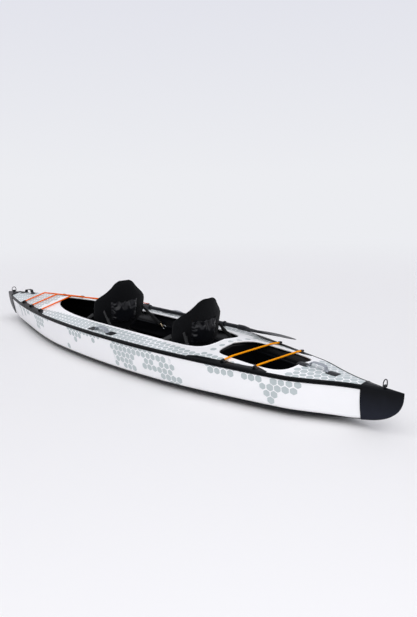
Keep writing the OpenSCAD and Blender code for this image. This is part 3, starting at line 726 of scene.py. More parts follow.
deck_x = [*stations(-DECK_END, WELL[0], 22, False), *stations(*WELL, 44, True),
    *stations(WELL[1], COCKPIT[0], 6, False), *stations(*COCKPIT, 96, True),
    *stations(COCKPIT[1], DECK_END, 40, False), DECK_END]
halves = []
for side in (1, -1):
    def deck_lay(u, v):
        x = deck_x[round(u * (len(deck_x) - 1))]
        y = mix(opening_y(x), sheer_y(x), v)
        return (x, side * y, deck_z(x, y))

    halves.append(skin("deck_half", len(deck_x) - 1, 16, deck_lay, (0, 0, 1)))
deck = join(*halves)
deck.name = "deck_skin"
edit(deck, merge(1e-5))
flat_map(deck, lambda p: (p.x, p.y))
apply(deck, "SOLIDIFY", thickness=DECK_T, offset=-1)
settle(deck, "hull", "white_pvc", white_deck, "foredeck", "aft_deck", "port_side_deck",
    "starboard_side_deck", "bridge_deck")

for name, (rear, front), half in (("cockpit_hem", COCKPIT, cockpit_y), ("well_hem", WELL, well_y)):
    port = [(x, half(x)) for x in stations(front, rear, 80, True)]
    starboard = [(x, -half(x)) for x in stations(rear, front, 80, True)]
    path = [(x, y, deck_z(x, y) - HEM_SUNK) for x, y in port + starboard]
    hem = sweep(name, path, ring(HEM_R, 10), loop=True)
    settle(hem, "hull", "white_pvc", white_plain)
print("deck faces", len(deck.data.polygons))

# %% [markdown]
# ## Rub rails and end caps
# A black extruded rail with two beads covers the seam of deck and side. The ends of the boat are
# moulded caps, glued over the points where all the panels meet.

# %% Rubber rail and moulded caps
# Rubber: a deep, dull black with a fine grit.
rail_rubber = grained("Extruded rubber, black", "#07090b", 0.36, 260.0, 3.0, 0.12, 0.001,
    Specular_IOR_Level=0.10)

# Plastic of the caps: blue black, with a painted reflection: paler towards the foot of a cap and darker
# towards its top, broken up by noise.
CAP_REFLECTION_HEIGHTS = (0.13, 0.25)
cap_plastic, tree, shader = blank("Moulded thermoplastic, blue black", "#0b0e15", 0.34,
    Specular_IOR_Level=0.12)
place = add(tree, "TexCoord").outputs["Object"]
reflection_noise = speckle(tree, place, 16.0, 5.0, Roughness=0.6)
# Painted reflection: the colour grows paler from the top of each cap down to its foot.
reflection_height = maths(tree, "MULTIPLY_ADD", reflection_noise, 0.06, add(tree, "SeparateXYZ", {0: place}).outputs["Z"])
painted_reflection = add(tree, "MapRange", {"Value": reflection_height, "From Min": CAP_REFLECTION_HEIGHTS[1], "From Max": CAP_REFLECTION_HEIGHTS[0]})
tint(tree, shader, painted_reflection.outputs[0], "#05070c", "#1b1e28")
emboss(tree, shader, speckle(tree, place, 420.0, 2.0), 0.15, 0.001)

RAIL_END = 1.9125
RAIL_HEIGHT = 0.026
RAIL_OUT = 0.007
RAIL_LAP = 0.08
RAIL_OVER = 0.008
RAIL_BACK = 0.002
RAIL_LIFT = 0.0015
RAIL_CROWN = 0.001

for side, word in HANDS:
    def rail_lay(u, v):
        """Over the deck edge, down across two beads, and back up behind them."""
        x = mix(-RAIL_END, RAIL_END, u)
        top = sheer_z(x) + RAIL_LIFT
        edge_y = sheer_y(x)
        if v < RAIL_LAP:
            t = v / RAIL_LAP
            crown = RAIL_CROWN * math.sin(t * math.pi)
            return (x, side * (edge_y - RAIL_OVER * (1 - t)), top + crown)
        if v > 1 - RAIL_LAP:
            t = (v - 1 + RAIL_LAP) / RAIL_LAP
            return (x, side * (edge_y - mix(RAIL_BACK, RAIL_OVER, t)), mix(top - RAIL_HEIGHT, top, t))
        t = (v - RAIL_LAP) / (1 - 2 * RAIL_LAP)
        out = RAIL_OUT * abs(math.sin(2 * math.pi * t)) ** 0.55
        drop = side_y(x, 1) - side_y(x, 0.9)
        return (x, side * (edge_y - drop * t * 0.9 + out), top - RAIL_HEIGHT * t)

    rail = skin(f"{word}_rail", 150, 50, rail_lay, (0, side, 0))
    close(rail)
    settle(rail, "hull", "black_pvc", rail_rubber, f"{word}_rub_rail")

CAP_START = 1.913
CAP_WALL = 0.004
CAP_LIP = 0.003
CAP_UNDER = 0.003
CAP_T = 0.003
LIP_REACH = 0.010
LIP_BOW = 0.010
CAP_TALL = 0.25
SHOULDER = (0.010, 0.030)
NOSE = 0.016
CAP_ROWS = 24


def cap_section(distance, end):
    """Half of a cap's section from the keel to the ridge: bottom, bilge, side, shoulder and top."""
    x = end * distance
    past = (distance - CAP_START) / (HALF_LENGTH - CAP_START)
    wall = CAP_WALL + CAP_LIP * math.exp(-(((distance - CAP_START) / LIP_REACH) ** 2))
    nose = math.sqrt(max(0.0, 1 - max(0.0, (distance - HALF_LENGTH + NOSE) / NOSE) ** 2))
    half, low, bend = sheer_y(x) + wall, keel_z(x) - CAP_UNDER, chine_z(x)
    foot = chine_y(x) + wall
    corner = Vector((half, sheer_z(x) + 0.7 * wall))
    ridge = Vector((0, deck_z(x, 0) + wall))
    radius = min(mix(*SHOULDER, past), 0.7 * half)
    under = corner + (Vector((foot, bend)) - corner).normalized() * min(radius, 0.8 * (corner.y - bend))
    over = corner + (ridge - corner).normalized() * radius
    points = [(foot * BILGE * k / 3, low) for k in range(3)]
    turns = [math.pi / 2 * k / 6 for k in range(7)]
    points += [(foot * (BILGE + (1 - BILGE) * math.sin(t)), mix(low, bend, 1 - math.cos(t)))
        for t in turns]
    points += [mix(Vector((foot, bend)), under, k / 4) for k in range(1, 4)]
    points += [mix(mix(under, corner, k / 7), mix(corner, over, k / 7), k / 7) for k in range(8)]
    points += [mix(over, ridge, k / 4) for k in range(1, 5)]
    return [(p[0] * nose, p[1]) for p in points]


for end, word in ((1, "bow"), (-1, "stern")):
    def cap_lay(u, v):
        """Sections from the lip to the nose. The lip's edge bows out over the side of the hull."""
        distance = mix(CAP_START, HALF_LENGTH, math.sin(u * math.pi / 2))
        row = round(v * 2 * CAP_ROWS)
        y, z = cap_section(distance, end)[min(row, 2 * CAP_ROWS - row)]
        share = clamp((z - keel_z(end * distance)) / CAP_TALL)
        bow = LIP_BOW * 4 * share * (1 - share) * (1 - u) ** 6
        return (end * (distance - bow), y if row <= CAP_ROWS else -y, z)

    cap = skin(f"{word}_end_cap", 48, 2 * CAP_ROWS, cap_lay, (end, 0, 0))
    edit(cap, merge(1e-6), turn_out)
    apply(cap, "SOLIDIFY", thickness=CAP_T, offset=-1)
    settle(cap, "hull", "cap_plastic", cap_plastic, f"{word}_cap")
print("rails and caps done")

# %% [markdown]
# ## Patches, strips and carry handles
# Everything that takes a pull is welded on through a patch of black coated cloth. The handles are
# woven webbing that comes out from under one patch and dives under the next. Webbing is modelled
# straight from its path, because a strap is a flat section that follows a line.

# %% Webbing and braid
THREAD = 0.0024
CORD_R = 0.0058
CORD_GIRTH = 2 * math.pi * CORD_R
BRAID_LAY = 0.009
BRAID_STRANDS = 3


def webbing(name, colour, shade):
    """Woven polyester webbing: ribs along its length, crossed by finer picks, with a soft sheen."""
    material, tree, shader = blank(name, colour, 0.72, Sheen_Weight=0.06)
    place = add(tree, "TexCoord").outputs["UV"]
    ribs, picks = threads(tree, place, THREAD, "Y"), threads(tree, place, 0.7 * THREAD, "X")
    weave = maths(tree, "MULTIPLY", ribs, picks)
    tint(tree, shader, maths(tree, "MULTIPLY", weave, speckle(tree, place, 60.0, 3.0)), shade, colour)
    emboss(tree, shader, weave, 0.6, 0.0008)
    return material


def braid(name, colour, shade):
    """A braided sheath over rubber: two sets of strands that wind round the cord and cross."""
    material, tree, shader = blank(name, colour, 0.6, Specular_IOR_Level=0.1)
    place = add(tree, "SeparateXYZ", {0: add(tree, "TexCoord").outputs["UV"]}).outputs
    run = maths(tree, "MULTIPLY", place["X"], 2 * math.pi / BRAID_LAY)
    wind = maths(tree, "MULTIPLY", place["Y"], BRAID_STRANDS * 2 * math.pi / CORD_GIRTH)
    strands = [maths(tree, "SINE", maths(tree, sign, run, wind)) for sign in ("ADD", "SUBTRACT")]
    cross = maths(tree, "MULTIPLY", *strands)
    share = add(tree, "MapRange", {"Value": cross, "From Min": -1.0}).outputs[0]
    tint(tree, shader, share, shade, colour)
    emboss(tree, shader, share, 0.3, 0.0010)
    return material


black_webbing = webbing("Polyester webbing, black", "#101116", "#050608")
grey_webbing = webbing("Polyester webbing, pale grey", "#c9ccd2", "#8f949c")
fore_braid = braid("Braided elastic cord, orange", "#ff7400", "#f56400")
aft_braid = braid("Braided elastic cord, amber", "#ffa800", "#ff9800")

# %% Weld the patches and sew the handles
PATCH = (0.076, 0.056)
PATCH_T = 0.0026
PATCH_OUT = 0.008
PATCH_ROUND = 0.18
PATCH_SPARE = 1.02
PATCH_LIFT = 0.0003
HANDLE_WIDTH = 0.030
HANDLE_RISE = 0.026
HANDLE_LIFT = 0.0046
HANDLE_SHAPE = ((-1, -0.010, -0.18), (-1, 0.016, -0.18), (-1, 0.036, 0.08), (-0.5, 0, 0.80), (0, 0, 1),
    (0.5, 0, 0.80), (1, -0.036, 0.08), (1, -0.016, -0.18), (1, 0.010, -0.18))
WEBBING_T = 0.0028
SIDE_HANDLE = (0.015, 0.352, 0.100)
RIDGE_HANDLES = ((1.720, "bow", black_webbing), (-1.603, "aft", grey_webbing))
RIDGE_HALF = 0.092


def patch(name, x, y):
    """A patch with round corners, lying on the deck."""
    def lay(u, v):
        a, b = 2 * u - 1, 2 * v - 1
        px = x + a * math.sqrt(1 - PATCH_ROUND * b * b) * PATCH[0] / 2 * PATCH_SPARE
        py = y + b * math.sqrt(1 - PATCH_ROUND * a * a) * PATCH[1] / 2 * PATCH_SPARE
        return (px, py, deck_z(px, py) + PATCH_LIFT)

    new = skin(name, 16, 12, lay, (0, 0, 1))
    apply(new, "SOLIDIFY", thickness=PATCH_T, offset=1)
    apply(new, "BEVEL", width=0.0009, segments=2, limit_method="ANGLE")
    return settle(new, "hull", "black_pvc", black_hull)


def handle(name, base, ahead, above, half, material, slot):
    """Webbing that is sewn under two patches and arches between them. Each point of its shape is a share
    of the half length with some metres more, and a share of the rise."""
    points = [base + ahead * (share * half + more) + above * (rise * HANDLE_RISE)
        for share, more, rise in HANDLE_SHAPE]
    strap = sweep(name, smooth_path(points, 6), band(HANDLE_WIDTH, WEBBING_T), up=above)
    return settle(strap, "hull", slot, material)


patches = []
for x, word, cloth in RIDGE_HANDLES:
    ends = (x - RIDGE_HALF, x + RIDGE_HALF)
    patches += [patch(f"{word}_handle_patch_{k}", end + math.copysign(PATCH_OUT, end - x), 0.0)
        for k, end in enumerate(ends)]
    low, high = (deck_z(end, 0) for end in ends)
    ahead = Vector((2 * RIDGE_HALF, 0, high - low)).normalized()
    above = Vector((0, 1, 0)).cross(ahead) * -1
    base = Vector((x, 0, (low + high) / 2 + HANDLE_LIFT))
    slot = "black_webbing" if word == "bow" else "grey_webbing"
    piece = handle(f"{word}_carry_handle", base, ahead, above, RIDGE_HALF, cloth, slot)
    if word == "bow":
        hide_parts("deck_handles")

for side, word in HANDS:
    x, y, half = SIDE_HANDLE
    patches += [patch(f"{word}_handle_patch_{k}", x + end * (half + PATCH_OUT), side * y)
        for k, end in enumerate((-1, 1))]
    above = Vector((0, side * CROWN_AFT, 1)).normalized()
    base = Vector((x, side * y, deck_z(x, y) + HANDLE_LIFT))
    piece = handle(f"{word}_carry_handle", base, Vector((1, 0, 0)), above, half, grey_webbing,
        "grey_webbing")
    if side > 0:
        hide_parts("side_handles")
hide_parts("handle_patches")
print("patches", len(patches))

# %% [markdown]
# ## Tab strips and bungees
# Beside each rail lies a black strip with a tunnel of webbing for every bungee. The strip is cut away
# at its ends and swells where a tunnel is sewn. The bungees are braided elastic cord with a knot
# outside each tunnel, and they bend where they cross the ridge or the edge of the well.

# %% Tab strips, tunnels and cords
FORE_CORDS = (1.434, 1.211, 0.978)
AFT_CORDS = (-1.105, -1.317)
FORE_STRIP = (0.900, 1.500)
AFT_STRIP = (-1.400, -0.860)
STRIP_INSET = 0.010
STRIP_WIDTH = 0.036
STRIP_T = 0.003
STRIP_LIFT = 0.0004
STRIP_EDGE = 0.003
STRIP_TIP = (0.25, 0.05)
STRIP_WAIST = 0.008
STRIP_SWELL = (0.010, 0.030)
TUNNEL_R = 0.0075
TUNNEL_LENGTH = 0.016
TUNNEL_FEET = (0.022, 0.012)
TUNNEL_DROP = 0.0062
TUNNEL_T = 0.0018
CORD_LIFT = 0.0108
STOP_PATH = (0.008, 0.006, 0.0, -0.006, -0.008)
STOP_SWELL = (0.5, 1.1, 1.35, 1.35, 1.15)
STOP_END = 0.009
KNEE_RUN = (0.012, 0.004)
KNEE_EASE = 0.0004
RIDGE_DIP = 0.0008


def loop_y(x):
    return sheer_y(x) - STRIP_INSET - STRIP_WIDTH / 2


def slope(x):
    return (deck_z(x, 0) - deck_z(x, 0.01)) / 0.01


def loop_z(x):
    return deck_z(x, loop_y(x)) + CORD_LIFT


def strip(name, ends, cords, side):
    """A strip along the deck's edge, narrow at its tips and wider at each cord."""
    def lay(u, v):
        x = mix(*ends, u)
        cut = clamp(min(u, 1 - u) * (ends[1] - ends[0]) / STRIP_TIP[1])
        swell = max(math.exp(-(((x - c) / STRIP_SWELL[1]) ** 2)) for c in cords)
        width = (STRIP_WIDTH - STRIP_WAIST) * mix(STRIP_TIP[0], 1, cut) + STRIP_SWELL[0] * swell
        y = sheer_y(x) - STRIP_EDGE - v * (width + STRIP_INSET - STRIP_EDGE)
        return (x, side * y, deck_z(x, y) + STRIP_LIFT)

    new = skin(name, 110, 6, lay, (0, 0, 1))
    apply(new, "SOLIDIFY", thickness=STRIP_T - STRIP_LIFT, offset=1)
    apply(new, "BEVEL", width=0.0008, segments=2, limit_method="ANGLE")
    return settle(new, "hull", "black_pvc", rail_rubber)


def tunnel(name, x, side):
    """A strap sewn down fore and aft of the cord, with the cord running through its arch."""
    s = slope(x)
    inward = Vector((0, -side, s)).normalized()
    above = Vector((0, side * s, 1)).normalized()
    heart = Vector((x, side * loop_y(x), loop_z(x)))
    arch = [(math.cos(t), math.sin(t)) for t in (math.pi * k / 8 for k in range(8, -1, -1))]
    foot = heart - above * TUNNEL_DROP
    points = [foot - Vector((out, 0, 0)) for out in TUNNEL_FEET]
    points += [heart + Vector((a * TUNNEL_R, 0, 0)) + above * b * TUNNEL_R for a, b in arch]
    points += [foot + Vector((out, 0, 0)) for out in reversed(TUNNEL_FEET)]
    new = sweep(name, smooth_path(points, 3), band(TUNNEL_LENGTH, TUNNEL_T), across=inward)
    return settle(new, "hull", "black_webbing", black_webbing)


def bungee(name, x, knee, material):
    """A cord from knot to knot, through both tunnels."""
    s = slope(x)
    top = loop_z(x) + (loop_y(x) - knee) * s
    outer = loop_y(x) + TUNNEL_LENGTH
    low = top - (outer - knee) * s
    dip = RIDGE_DIP if knee < 0.01 else 0.0
    half = [(outer + out, low - out * s) for out in STOP_PATH]
    far, near = KNEE_RUN
    half += [(mix(outer - STOP_END, knee + far, k / 10), mix(low + STOP_END * s, top - far * s, k / 10))
        for k in range(11)]
    half += [(knee + near, top - near * s - KNEE_EASE), (max(knee - near, 0.0001), top - dip)]
    half += [(knee * k / 5, top) for k in range(4, 0, -1) if knee > 0]
    path = [Vector((x, y, z)) for y, z in half]
    path += [Vector((x, 0, top - dip))] + [Vector((x, -p.y, p.z)) for p in reversed(path)]
    section = ring(CORD_R, 14)
    cord = sweep(name, path[2:-2], section, up=(1, 0, 0))
    for hand, end in (("port", path[:5]), ("starboard", path[:-6:-1])):
        stop = sweep(f"{name}_{hand}_stop", end, section, up=(1, 0, 0), swell=STOP_SWELL)
        settle(stop, "hull", "fitting_plastic", rail_rubber)
    return settle(cord, "hull", "orange_cord", material)


for word, ends, cords in (("fore", FORE_STRIP, FORE_CORDS), ("aft", AFT_STRIP, AFT_CORDS)):
    strips = [strip(f"{word}_{hand}_strip", ends, cords, side) for side, hand in HANDS]
    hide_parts(f"{word}_tab_strips")
    for k, x in enumerate(cords):
        for side, hand in HANDS:
            tunnel(f"{word}_{hand}_tunnel_{k}", x, side)
        cord = bungee(f"{word}_bungee_{k}", x, 0.0 if word == "fore" else well_y(x),
            fore_braid if word == "fore" else aft_braid)
        if k == 0:
            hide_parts(f"{word}_bungees")
print("cords", len(FORE_CORDS) + len(AFT_CORDS))

# %% [markdown]
# ## Seats
# A seat is a flat foam base and a backrest of the same foam, both in black woven fabric, and the
# backrest is bound all round with piping. Foam in a sewn cover bulges between its seams, so each pad
# starts a little small and is blown up by Blender's cloth, as air would do it.

# %% Seat fabrics
def fabric(name, colour, shade, period, roughness, depth, gloss=0.15):
    """A plain weave on Object coordinates, drawn coarser than real so that it shows."""
    material, tree, shader = blank(name, colour, roughness, Sheen_Weight=0.03,
        Sheen_Roughness=0.5, Specular_IOR_Level=gloss)
    place = add(tree, "TexCoord").outputs["Object"]
    weave = maths(tree, "MULTIPLY", threads(tree, place, period, "Y"), threads(tree, place, period, "Z"))
    tint(tree, shader, maths(tree, "MULTIPLY", weave, speckle(tree, place, 14.0, 4.0)), shade, colour)
    emboss(tree, shader, weave, depth, 0.0008)
    return material


seat_fabric = fabric("Woven nylon over foam, black", "#080910", "#030406", 0.0028, 0.85, 0.4)
pocket_fabric = fabric("Coated ripstop nylon, black", "#0f1017", "#07080d", 0.0050, 0.36, 0.15, 0.3)
piping_fabric = fabric("Woven binding tape, black", "#090a0d", "#050608", 0.0022, 0.8, 0.4)

# %% Pads that are blown up
def run_cloth(piece, frames, gravity, pressure, **settings):
    """Runs Blender's cloth on a piece for some frames and keeps the shape that it comes to."""
    only(piece)
    cloth = piece.modifiers.new("cloth", "CLOTH")
    cloth.settings.use_pressure = True
    cloth.settings.uniform_pressure_force = pressure
    cloth.settings.effector_weights.gravity = gravity
    for key, value in settings.items():
        setattr(cloth.settings, key, value)
    cloth.point_cache.frame_end = frames
    for step in range(1, frames + 1):
        bpy.context.scene.frame_set(step)
    bpy.ops.object.modifier_apply(modifier=cloth.name)
    bpy.context.scene.frame_set(1)


def blow_up(pad, voxel, cap):
    """Turns a closed mesh into a stuffed pad. No point moves further than cap."""
    edit(pad, turn_out)
    apply(pad, "REMESH", mode="VOXEL", voxel_size=voxel)
    before = [v.co.copy() for v in pad.data.vertices]
    run_cloth(pad, 20, 0, 4)
    for vertex, start in zip(pad.data.vertices, before):
        move = vertex.co - start
        if move.length > cap:
            vertex.co = start + move.normalized() * cap
    apply(pad, "SMOOTH", factor=0.5, iterations=3)
    apply(pad, "SUBSURF", levels=1, render_levels=1)
    smooth(pad)


def copy_to(piece, name, move):
    """A copy with its own mesh, moved along in its mesh."""
    only(piece)
    bpy.ops.object.duplicate(linked=False)
    new = bpy.context.object
    new.name = name
    new.data.transform(Matrix.Translation(move))
    return new


SEATS = {"front": 0.262, "rear": -0.635}
HINGE_Z = 0.1416
BACK_LEAN = math.radians(12)
LEAN_C, LEAN_S = math.cos(BACK_LEAN), math.sin(BACK_LEAN)
BACK_HEIGHT = 0.430
BACK_HALF = 0.222
BACK_T = 0.024
BACK_R = 0.350
BACK_AXIS = 0.338
FOOT_HALF = 0.060
FOOT_AT = 0.04
WING_RUN = 0.26
SHOULDER_AT = 0.58
NECK = 0.51
NECK_AT = 0.90
HEAD_AT = 0.80
PAD_UNDER = 0.010
PAD_LOW = 0.004
PAD_SHARE = 0.990
PAD_INSET = 0.003
PIPING_IN = 0.008
PIPING_R = 0.0048
SEAT_BASE = (0.380, 0.400, 0.042)
BASE_UNDER = 0.016
BASE_AFT = 0.014
BASE_ROUND = 0.28
BASE_SHARE = 0.985
BASE_Z = 0.0853
SLOUCH = {"front": (0.037, -0.020, -0.101), "rear": (-0.018, 0.062, 0.027)}
TURNED_AT = 0.4


def bell(z):
    """Half width of the backrest at a height above its hinge."""
    u = z / BACK_HEIGHT
    if u < SHOULDER_AT:
        return mix(FOOT_HALF, BACK_HALF, ease((u - FOOT_AT) / WING_RUN))
    width = BACK_HALF * mix(1, NECK, ease((u - SHOULDER_AT) / (NECK_AT - SHOULDER_AT)))
    return width * math.sqrt(1 - clamp((u - HEAD_AT) / (1 - HEAD_AT)) ** 2)


def rear_face(y):
    return BACK_AXIS - math.sqrt(BACK_R**2 - y * y)


def back_point(seat, deep, y, up):
    """A point given in the leaning backrest's own directions."""
    return Vector((SEATS[seat] + deep * LEAN_C - up * LEAN_S, y, HINGE_Z + deep * LEAN_S + up * LEAN_C))


def back_place(seat, point):
    """The depth and the height of a point in the leaning backrest's own directions."""
    x, z = point.x - SEATS[seat], point.z - HINGE_Z
    return x * LEAN_C + z * LEAN_S, z * LEAN_C - x * LEAN_S


def back_rows(v):
    """Heights up the backrest, crowded where its head turns."""
    return BACK_HEIGHT * math.sin(v * math.pi / 2) ** 0.9 if v > 0 else PAD_LOW


def back_lay(u, v):
    z = max(PAD_LOW, PAD_SHARE * back_rows(v))
    y = (2 * u - 1) * max(PAD_LOW, bell(z) - PAD_INSET)
    return back_point("front", rear_face(y) + BACK_T / 2, y, z)


back = skin("front_back_pad", 36, 40, back_lay, (-1, 0, 0))
apply(back, "SOLIDIFY", thickness=BACK_T - PAD_UNDER, offset=0)
blow_up(back, 0.005, 0.006)


def rim_point(z):
    """A point on the port edge of the backrest, sunk a little into the pad."""
    y = max(0.0, bell(z) - PIPING_IN)
    return back_point("front", rear_face(y) + BACK_T / 2, y, z)


outline = [rim_point(back_rows(k / 40) * (1 - PIPING_IN / BACK_HEIGHT)) for k in range(1, 40)]
outline += [back_point("front", BACK_T / 2 + rear_face(0), 0, BACK_HEIGHT - PIPING_IN)]
outline += [Vector((p.x, -p.y, p.z)) for p in reversed(outline[:-1])]
piping = sweep("front_back_piping", outline, ring(PIPING_R, 10), up=(1, 0.01, 0.2))


def base_lay(u, v):
    """A plate with round corners, seen from above."""
    a, b = 2 * u - 1, 2 * v - 1
    x = a * math.sqrt(1 - BASE_ROUND * b * b) * SEAT_BASE[0] / 2 * BASE_SHARE
    y = b * math.sqrt(1 - BASE_ROUND * a * a) * SEAT_BASE[1] / 2 * BASE_SHARE
    return (SEATS["front"] - BASE_AFT + SEAT_BASE[0] / 2 + x, y, BASE_Z + SEAT_BASE[2] / 2)


base = skin("front_seat_pad", 30, 30, base_lay, (0, 0, 1))
apply(base, "SOLIDIFY", thickness=SEAT_BASE[2] - BASE_UNDER, offset=0)
blow_up(base, 0.006, 0.008)


def slouch(seat, point):
    """Where a point of the soft backrest comes to lie: its head curls, and it sways and turns."""
    curl, sway, turn = SLOUCH[seat]
    deep, up = back_place(seat, point)
    share = clamp(up / BACK_HEIGHT)
    place = back_point(seat, deep + curl * share**3, point.y + sway * share * BACK_HEIGHT, up)
    hinge = Vector((SEATS[seat], 0, place.z))
    return hinge + Matrix.Rotation(turn * ease(share / TURNED_AT), 3, "Z") @ (place - hinge)


def slump(piece, seat):
    for vertex in piece.data.vertices:
        vertex.co = slouch(seat, vertex.co)


step_aft = Vector((SEATS["rear"] - SEATS["front"], 0, 0))
front_set = (back, piping, base)
rear_names = ("rear_back_pad", "rear_back_piping", "rear_seat_pad")
rear_set = [copy_to(piece, name, step_aft) for piece, name in zip(front_set, rear_names)]
for seat, (pad, rim, seat_pad) in zip(SEATS, (front_set, rear_set)):
    slump(pad, seat)
    slump(rim, seat)
    settle(pad, f"{seat}_back", "seat_fabric", seat_fabric, f"{seat}_backrest")
    settle(rim, f"{seat}_back", "seat_fabric", piping_fabric)
    settle(seat_pad, "hull", "seat_fabric", seat_fabric, f"{seat}_seat_base")
print("back pad faces", len(back.data.polygons))

# %% [markdown]
# ## Pockets
# Each backrest has a pocket of thin coated nylon on its rear. It is cut larger than the place it is
# sewn to, so it hangs in creases. A cloth that grows while its edges are held does the same. Its hem is
# held only here and there.

# %% Crease the pockets
POCKET_HALF = 0.116
POCKET_LOW = 0.112
POCKET_HIGH = 0.274
POCKET_SPARE = 0.20
POCKET_GRID = (52, 36)
POCKET_FULL = 0.011
POCKET_CRUSH = 0.004
POCKET_OFF = (0.0012, 0.024)
POCKET_T = 0.0010
HEM_EVERY = 13


def pocket(seat, seed):
    def lay(u, v):
        y = (2 * u - 1) * POCKET_HALF * mix(0.9, 1.0, v)
        up = mix(POCKET_LOW, POCKET_HIGH, v)
        swell = math.sin(math.pi * u) * math.sin(math.pi * min(1.0, v * 0.85 + 0.1))
        full = POCKET_FULL + POCKET_CRUSH * noise.noise(Vector((u * 5, v * 4, seed)))
        return back_point(seat, rear_face(y) - 0.0015 - full * swell, y, up)

    new = skin(f"{seat}_back_pocket", *POCKET_GRID, lay, (-1, 0, 0))
    columns, rows = POCKET_GRID
    held = new.vertex_groups.new(name="sewn")
    for index in range(len(new.data.vertices)):
        column, row = index % (columns + 1), index // (columns + 1)
        seam = column in (0, columns) or row == 0
        hem = row == rows and column % HEM_EVERY in (0, 1)
        if seam or hem:
            held.add([index], 1.0, "REPLACE")
    run_cloth(new, 24, 0.25, 0.6, quality=6, mass=0.12, shrink_min=-POCKET_SPARE,
        bending_stiffness=0.2, vertex_group_mass="sewn")
    for vertex in new.data.vertices:
        deep, up = back_place(seat, vertex.co)
        face = rear_face(vertex.co.y)
        deep = max(face - POCKET_OFF[1], min(face - POCKET_OFF[0], deep))
        vertex.co = slouch(seat, back_point(seat, deep, vertex.co.y, up))
    area = sum(p.area for p in new.data.polygons)
    apply(new, "SOLIDIFY", thickness=POCKET_T, offset=-1)
    apply(new, "SUBSURF", levels=1, render_levels=1)
    smooth(new)
    settle(new, f"{seat}_back", "pocket_fabric", pocket_fabric, f"{seat}_pocket")
    print(seat, "pocket area", round(area, 4))


for seed, seat in enumerate(SEATS):
    pocket(seat, 3.7 * seed)

# %% [markdown]
# ## Straps, sliders and hooks
# Two straps lead forward from the wings of each backrest and two lead aft, each to a snap hook on a
# ring. They hold the back up, so they are straight.

# %% Run the straps
STRAP_WIDTH = 0.025
STRAP_T = 0.0018
ANCHOR_LEAD = 0.300
ANCHOR_BACK = {"front": 0.245, "rear": 0.150}
LEAD_UP = 0.170
LEAD_OFF = 0.0016
TAIL_UP = 0.205
TAIL_Y = 0.165
TAIL_OFF = 0.005
BAR_OFF = 0.0116
RING_AND_HOOK = 0.0627
TOP_CUT = 0.006
FOLD = 0.0036
EYE = ((0.002, 0.0), (0.0045, 0.002), (0.001, 0.0042))
TAIL = ((0.03, 0.006), (0.06, 0.010))
SLIDER_AT = 0.62
SLIDER_R = 0.0024
BAR_R = 0.0020
BARS_AT = (0.0, 0.006)
BAR_PROUD = 0.0012
SLIDER_SPARE = 0.0035
SLIDER_HALF = 0.010


def strap_ends(seat, lead, side):
    """The top of a strap and the place where it meets its hook."""
    if lead:
        top = back_point(seat, rear_face(BACK_HALF), side * (BACK_HALF + LEAD_OFF), LEAD_UP)
        a = SEATS[seat] + ANCHOR_LEAD
    else:
        top = back_point(seat, rear_face(TAIL_Y) - TAIL_OFF, side * TAIL_Y, TAIL_UP)
        a = SEATS[seat] - ANCHOR_BACK[seat]
    bar = Vector((a, side * (wall_mid_y(a) - BAR_OFF), wall_mid_z(a)))
    low = bar - (bar - top).normalized() * RING_AND_HOOK
    top = slouch(seat, top)
    return top + (low - top).normalized() * TOP_CUT, low


def strap(name, top, low, side):
    """Webbing down to the hook, round its eye and back up to the slider, with a loose tail."""
    line = (low - top).normalized()
    across = line.cross(Vector((0, side, 0))).normalized()
    out = across.cross(line).normalized()
    if out.y * side < 0:
        out = -out
    long = (low - top).length
    slider = SLIDER_AT * long
    near, far = top + line * 0.4 * long, top + line * 0.9 * long
    points = [top, near, far, *(low + line * a - out * b for a, b in EYE)]
    points += [far - out * FOLD, top + line * slider - out * FOLD]
    points += [top + line * (slider - a) - out * b for a, b in TAIL]
    piece = sweep(name, smooth_path(points, 5), band(STRAP_WIDTH, STRAP_T), across=across)
    return piece, top + line * slider, line, across, out


def slider_frame(name, heart, line, across, out):
    """A moulded ladder-lock: a rounded frame with a bar across its middle."""
    w, h = STRAP_WIDTH / 2 + SLIDER_SPARE, SLIDER_HALF
    corner = [(w, h), (-w, h), (-w, -h), (w, -h)]
    points = []
    for (a, b), (c, d) in zip(corner, corner[1:] + corner[:1]):
        points += [heart + across * mix(a, c, t) + line * mix(b, d, t) for t in (0.08, 0.3, 0.7, 0.92)]
    frame_part = sweep(name, points, ring(SLIDER_R, 8), up=out, loop=True)
    bars = []
    for place in BARS_AT:
        path = [heart + across * w * t + line * place + out * BAR_PROUD for t in (-1, -0.3, 0.3, 1)]
        bars.append(sweep("bar", path, ring(BAR_R, 8), up=out))
    return join(frame_part, *bars)


# Nylon: a plain black, spark-eroded to a fine satin.
fitting_plastic = grained("Moulded nylon, black", "#1b1c20", 0.4, 700.0, 2.0, 0.15, 0.0006)

for seat in SEATS:
    first = True
    for side, hand in HANDS:
        for lead, way in ((True, "lead"), (False, "tail")):
            top, low = strap_ends(seat, lead, side)
            name = f"{seat}_{hand}_{way}"
            piece, heart, line, across, out = strap(f"{name}_strap", top, low, side)
            lock = slider_frame(f"{name}_slider", heart, line, across, out)
            for new, slot, material, node in ((piece, "black_webbing", black_webbing, "seat_straps"),
                    (lock, "fitting_plastic", fitting_plastic, "strap_sliders")):
                dress(new, material)
                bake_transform(new)
                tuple(low)
                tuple(top)
                if first:
                    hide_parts(f"{seat}_{node}")
            first = False
    print(seat, "last strap", round((top - low).length, 3))

# %% [markdown]
# ## Paddle
# A two-piece touring paddle lies on the starboard side deck. Its blades are moulded nylon: thin spoons
# with a spine that runs out towards the tip. The shaft halves telescope in a clamp.

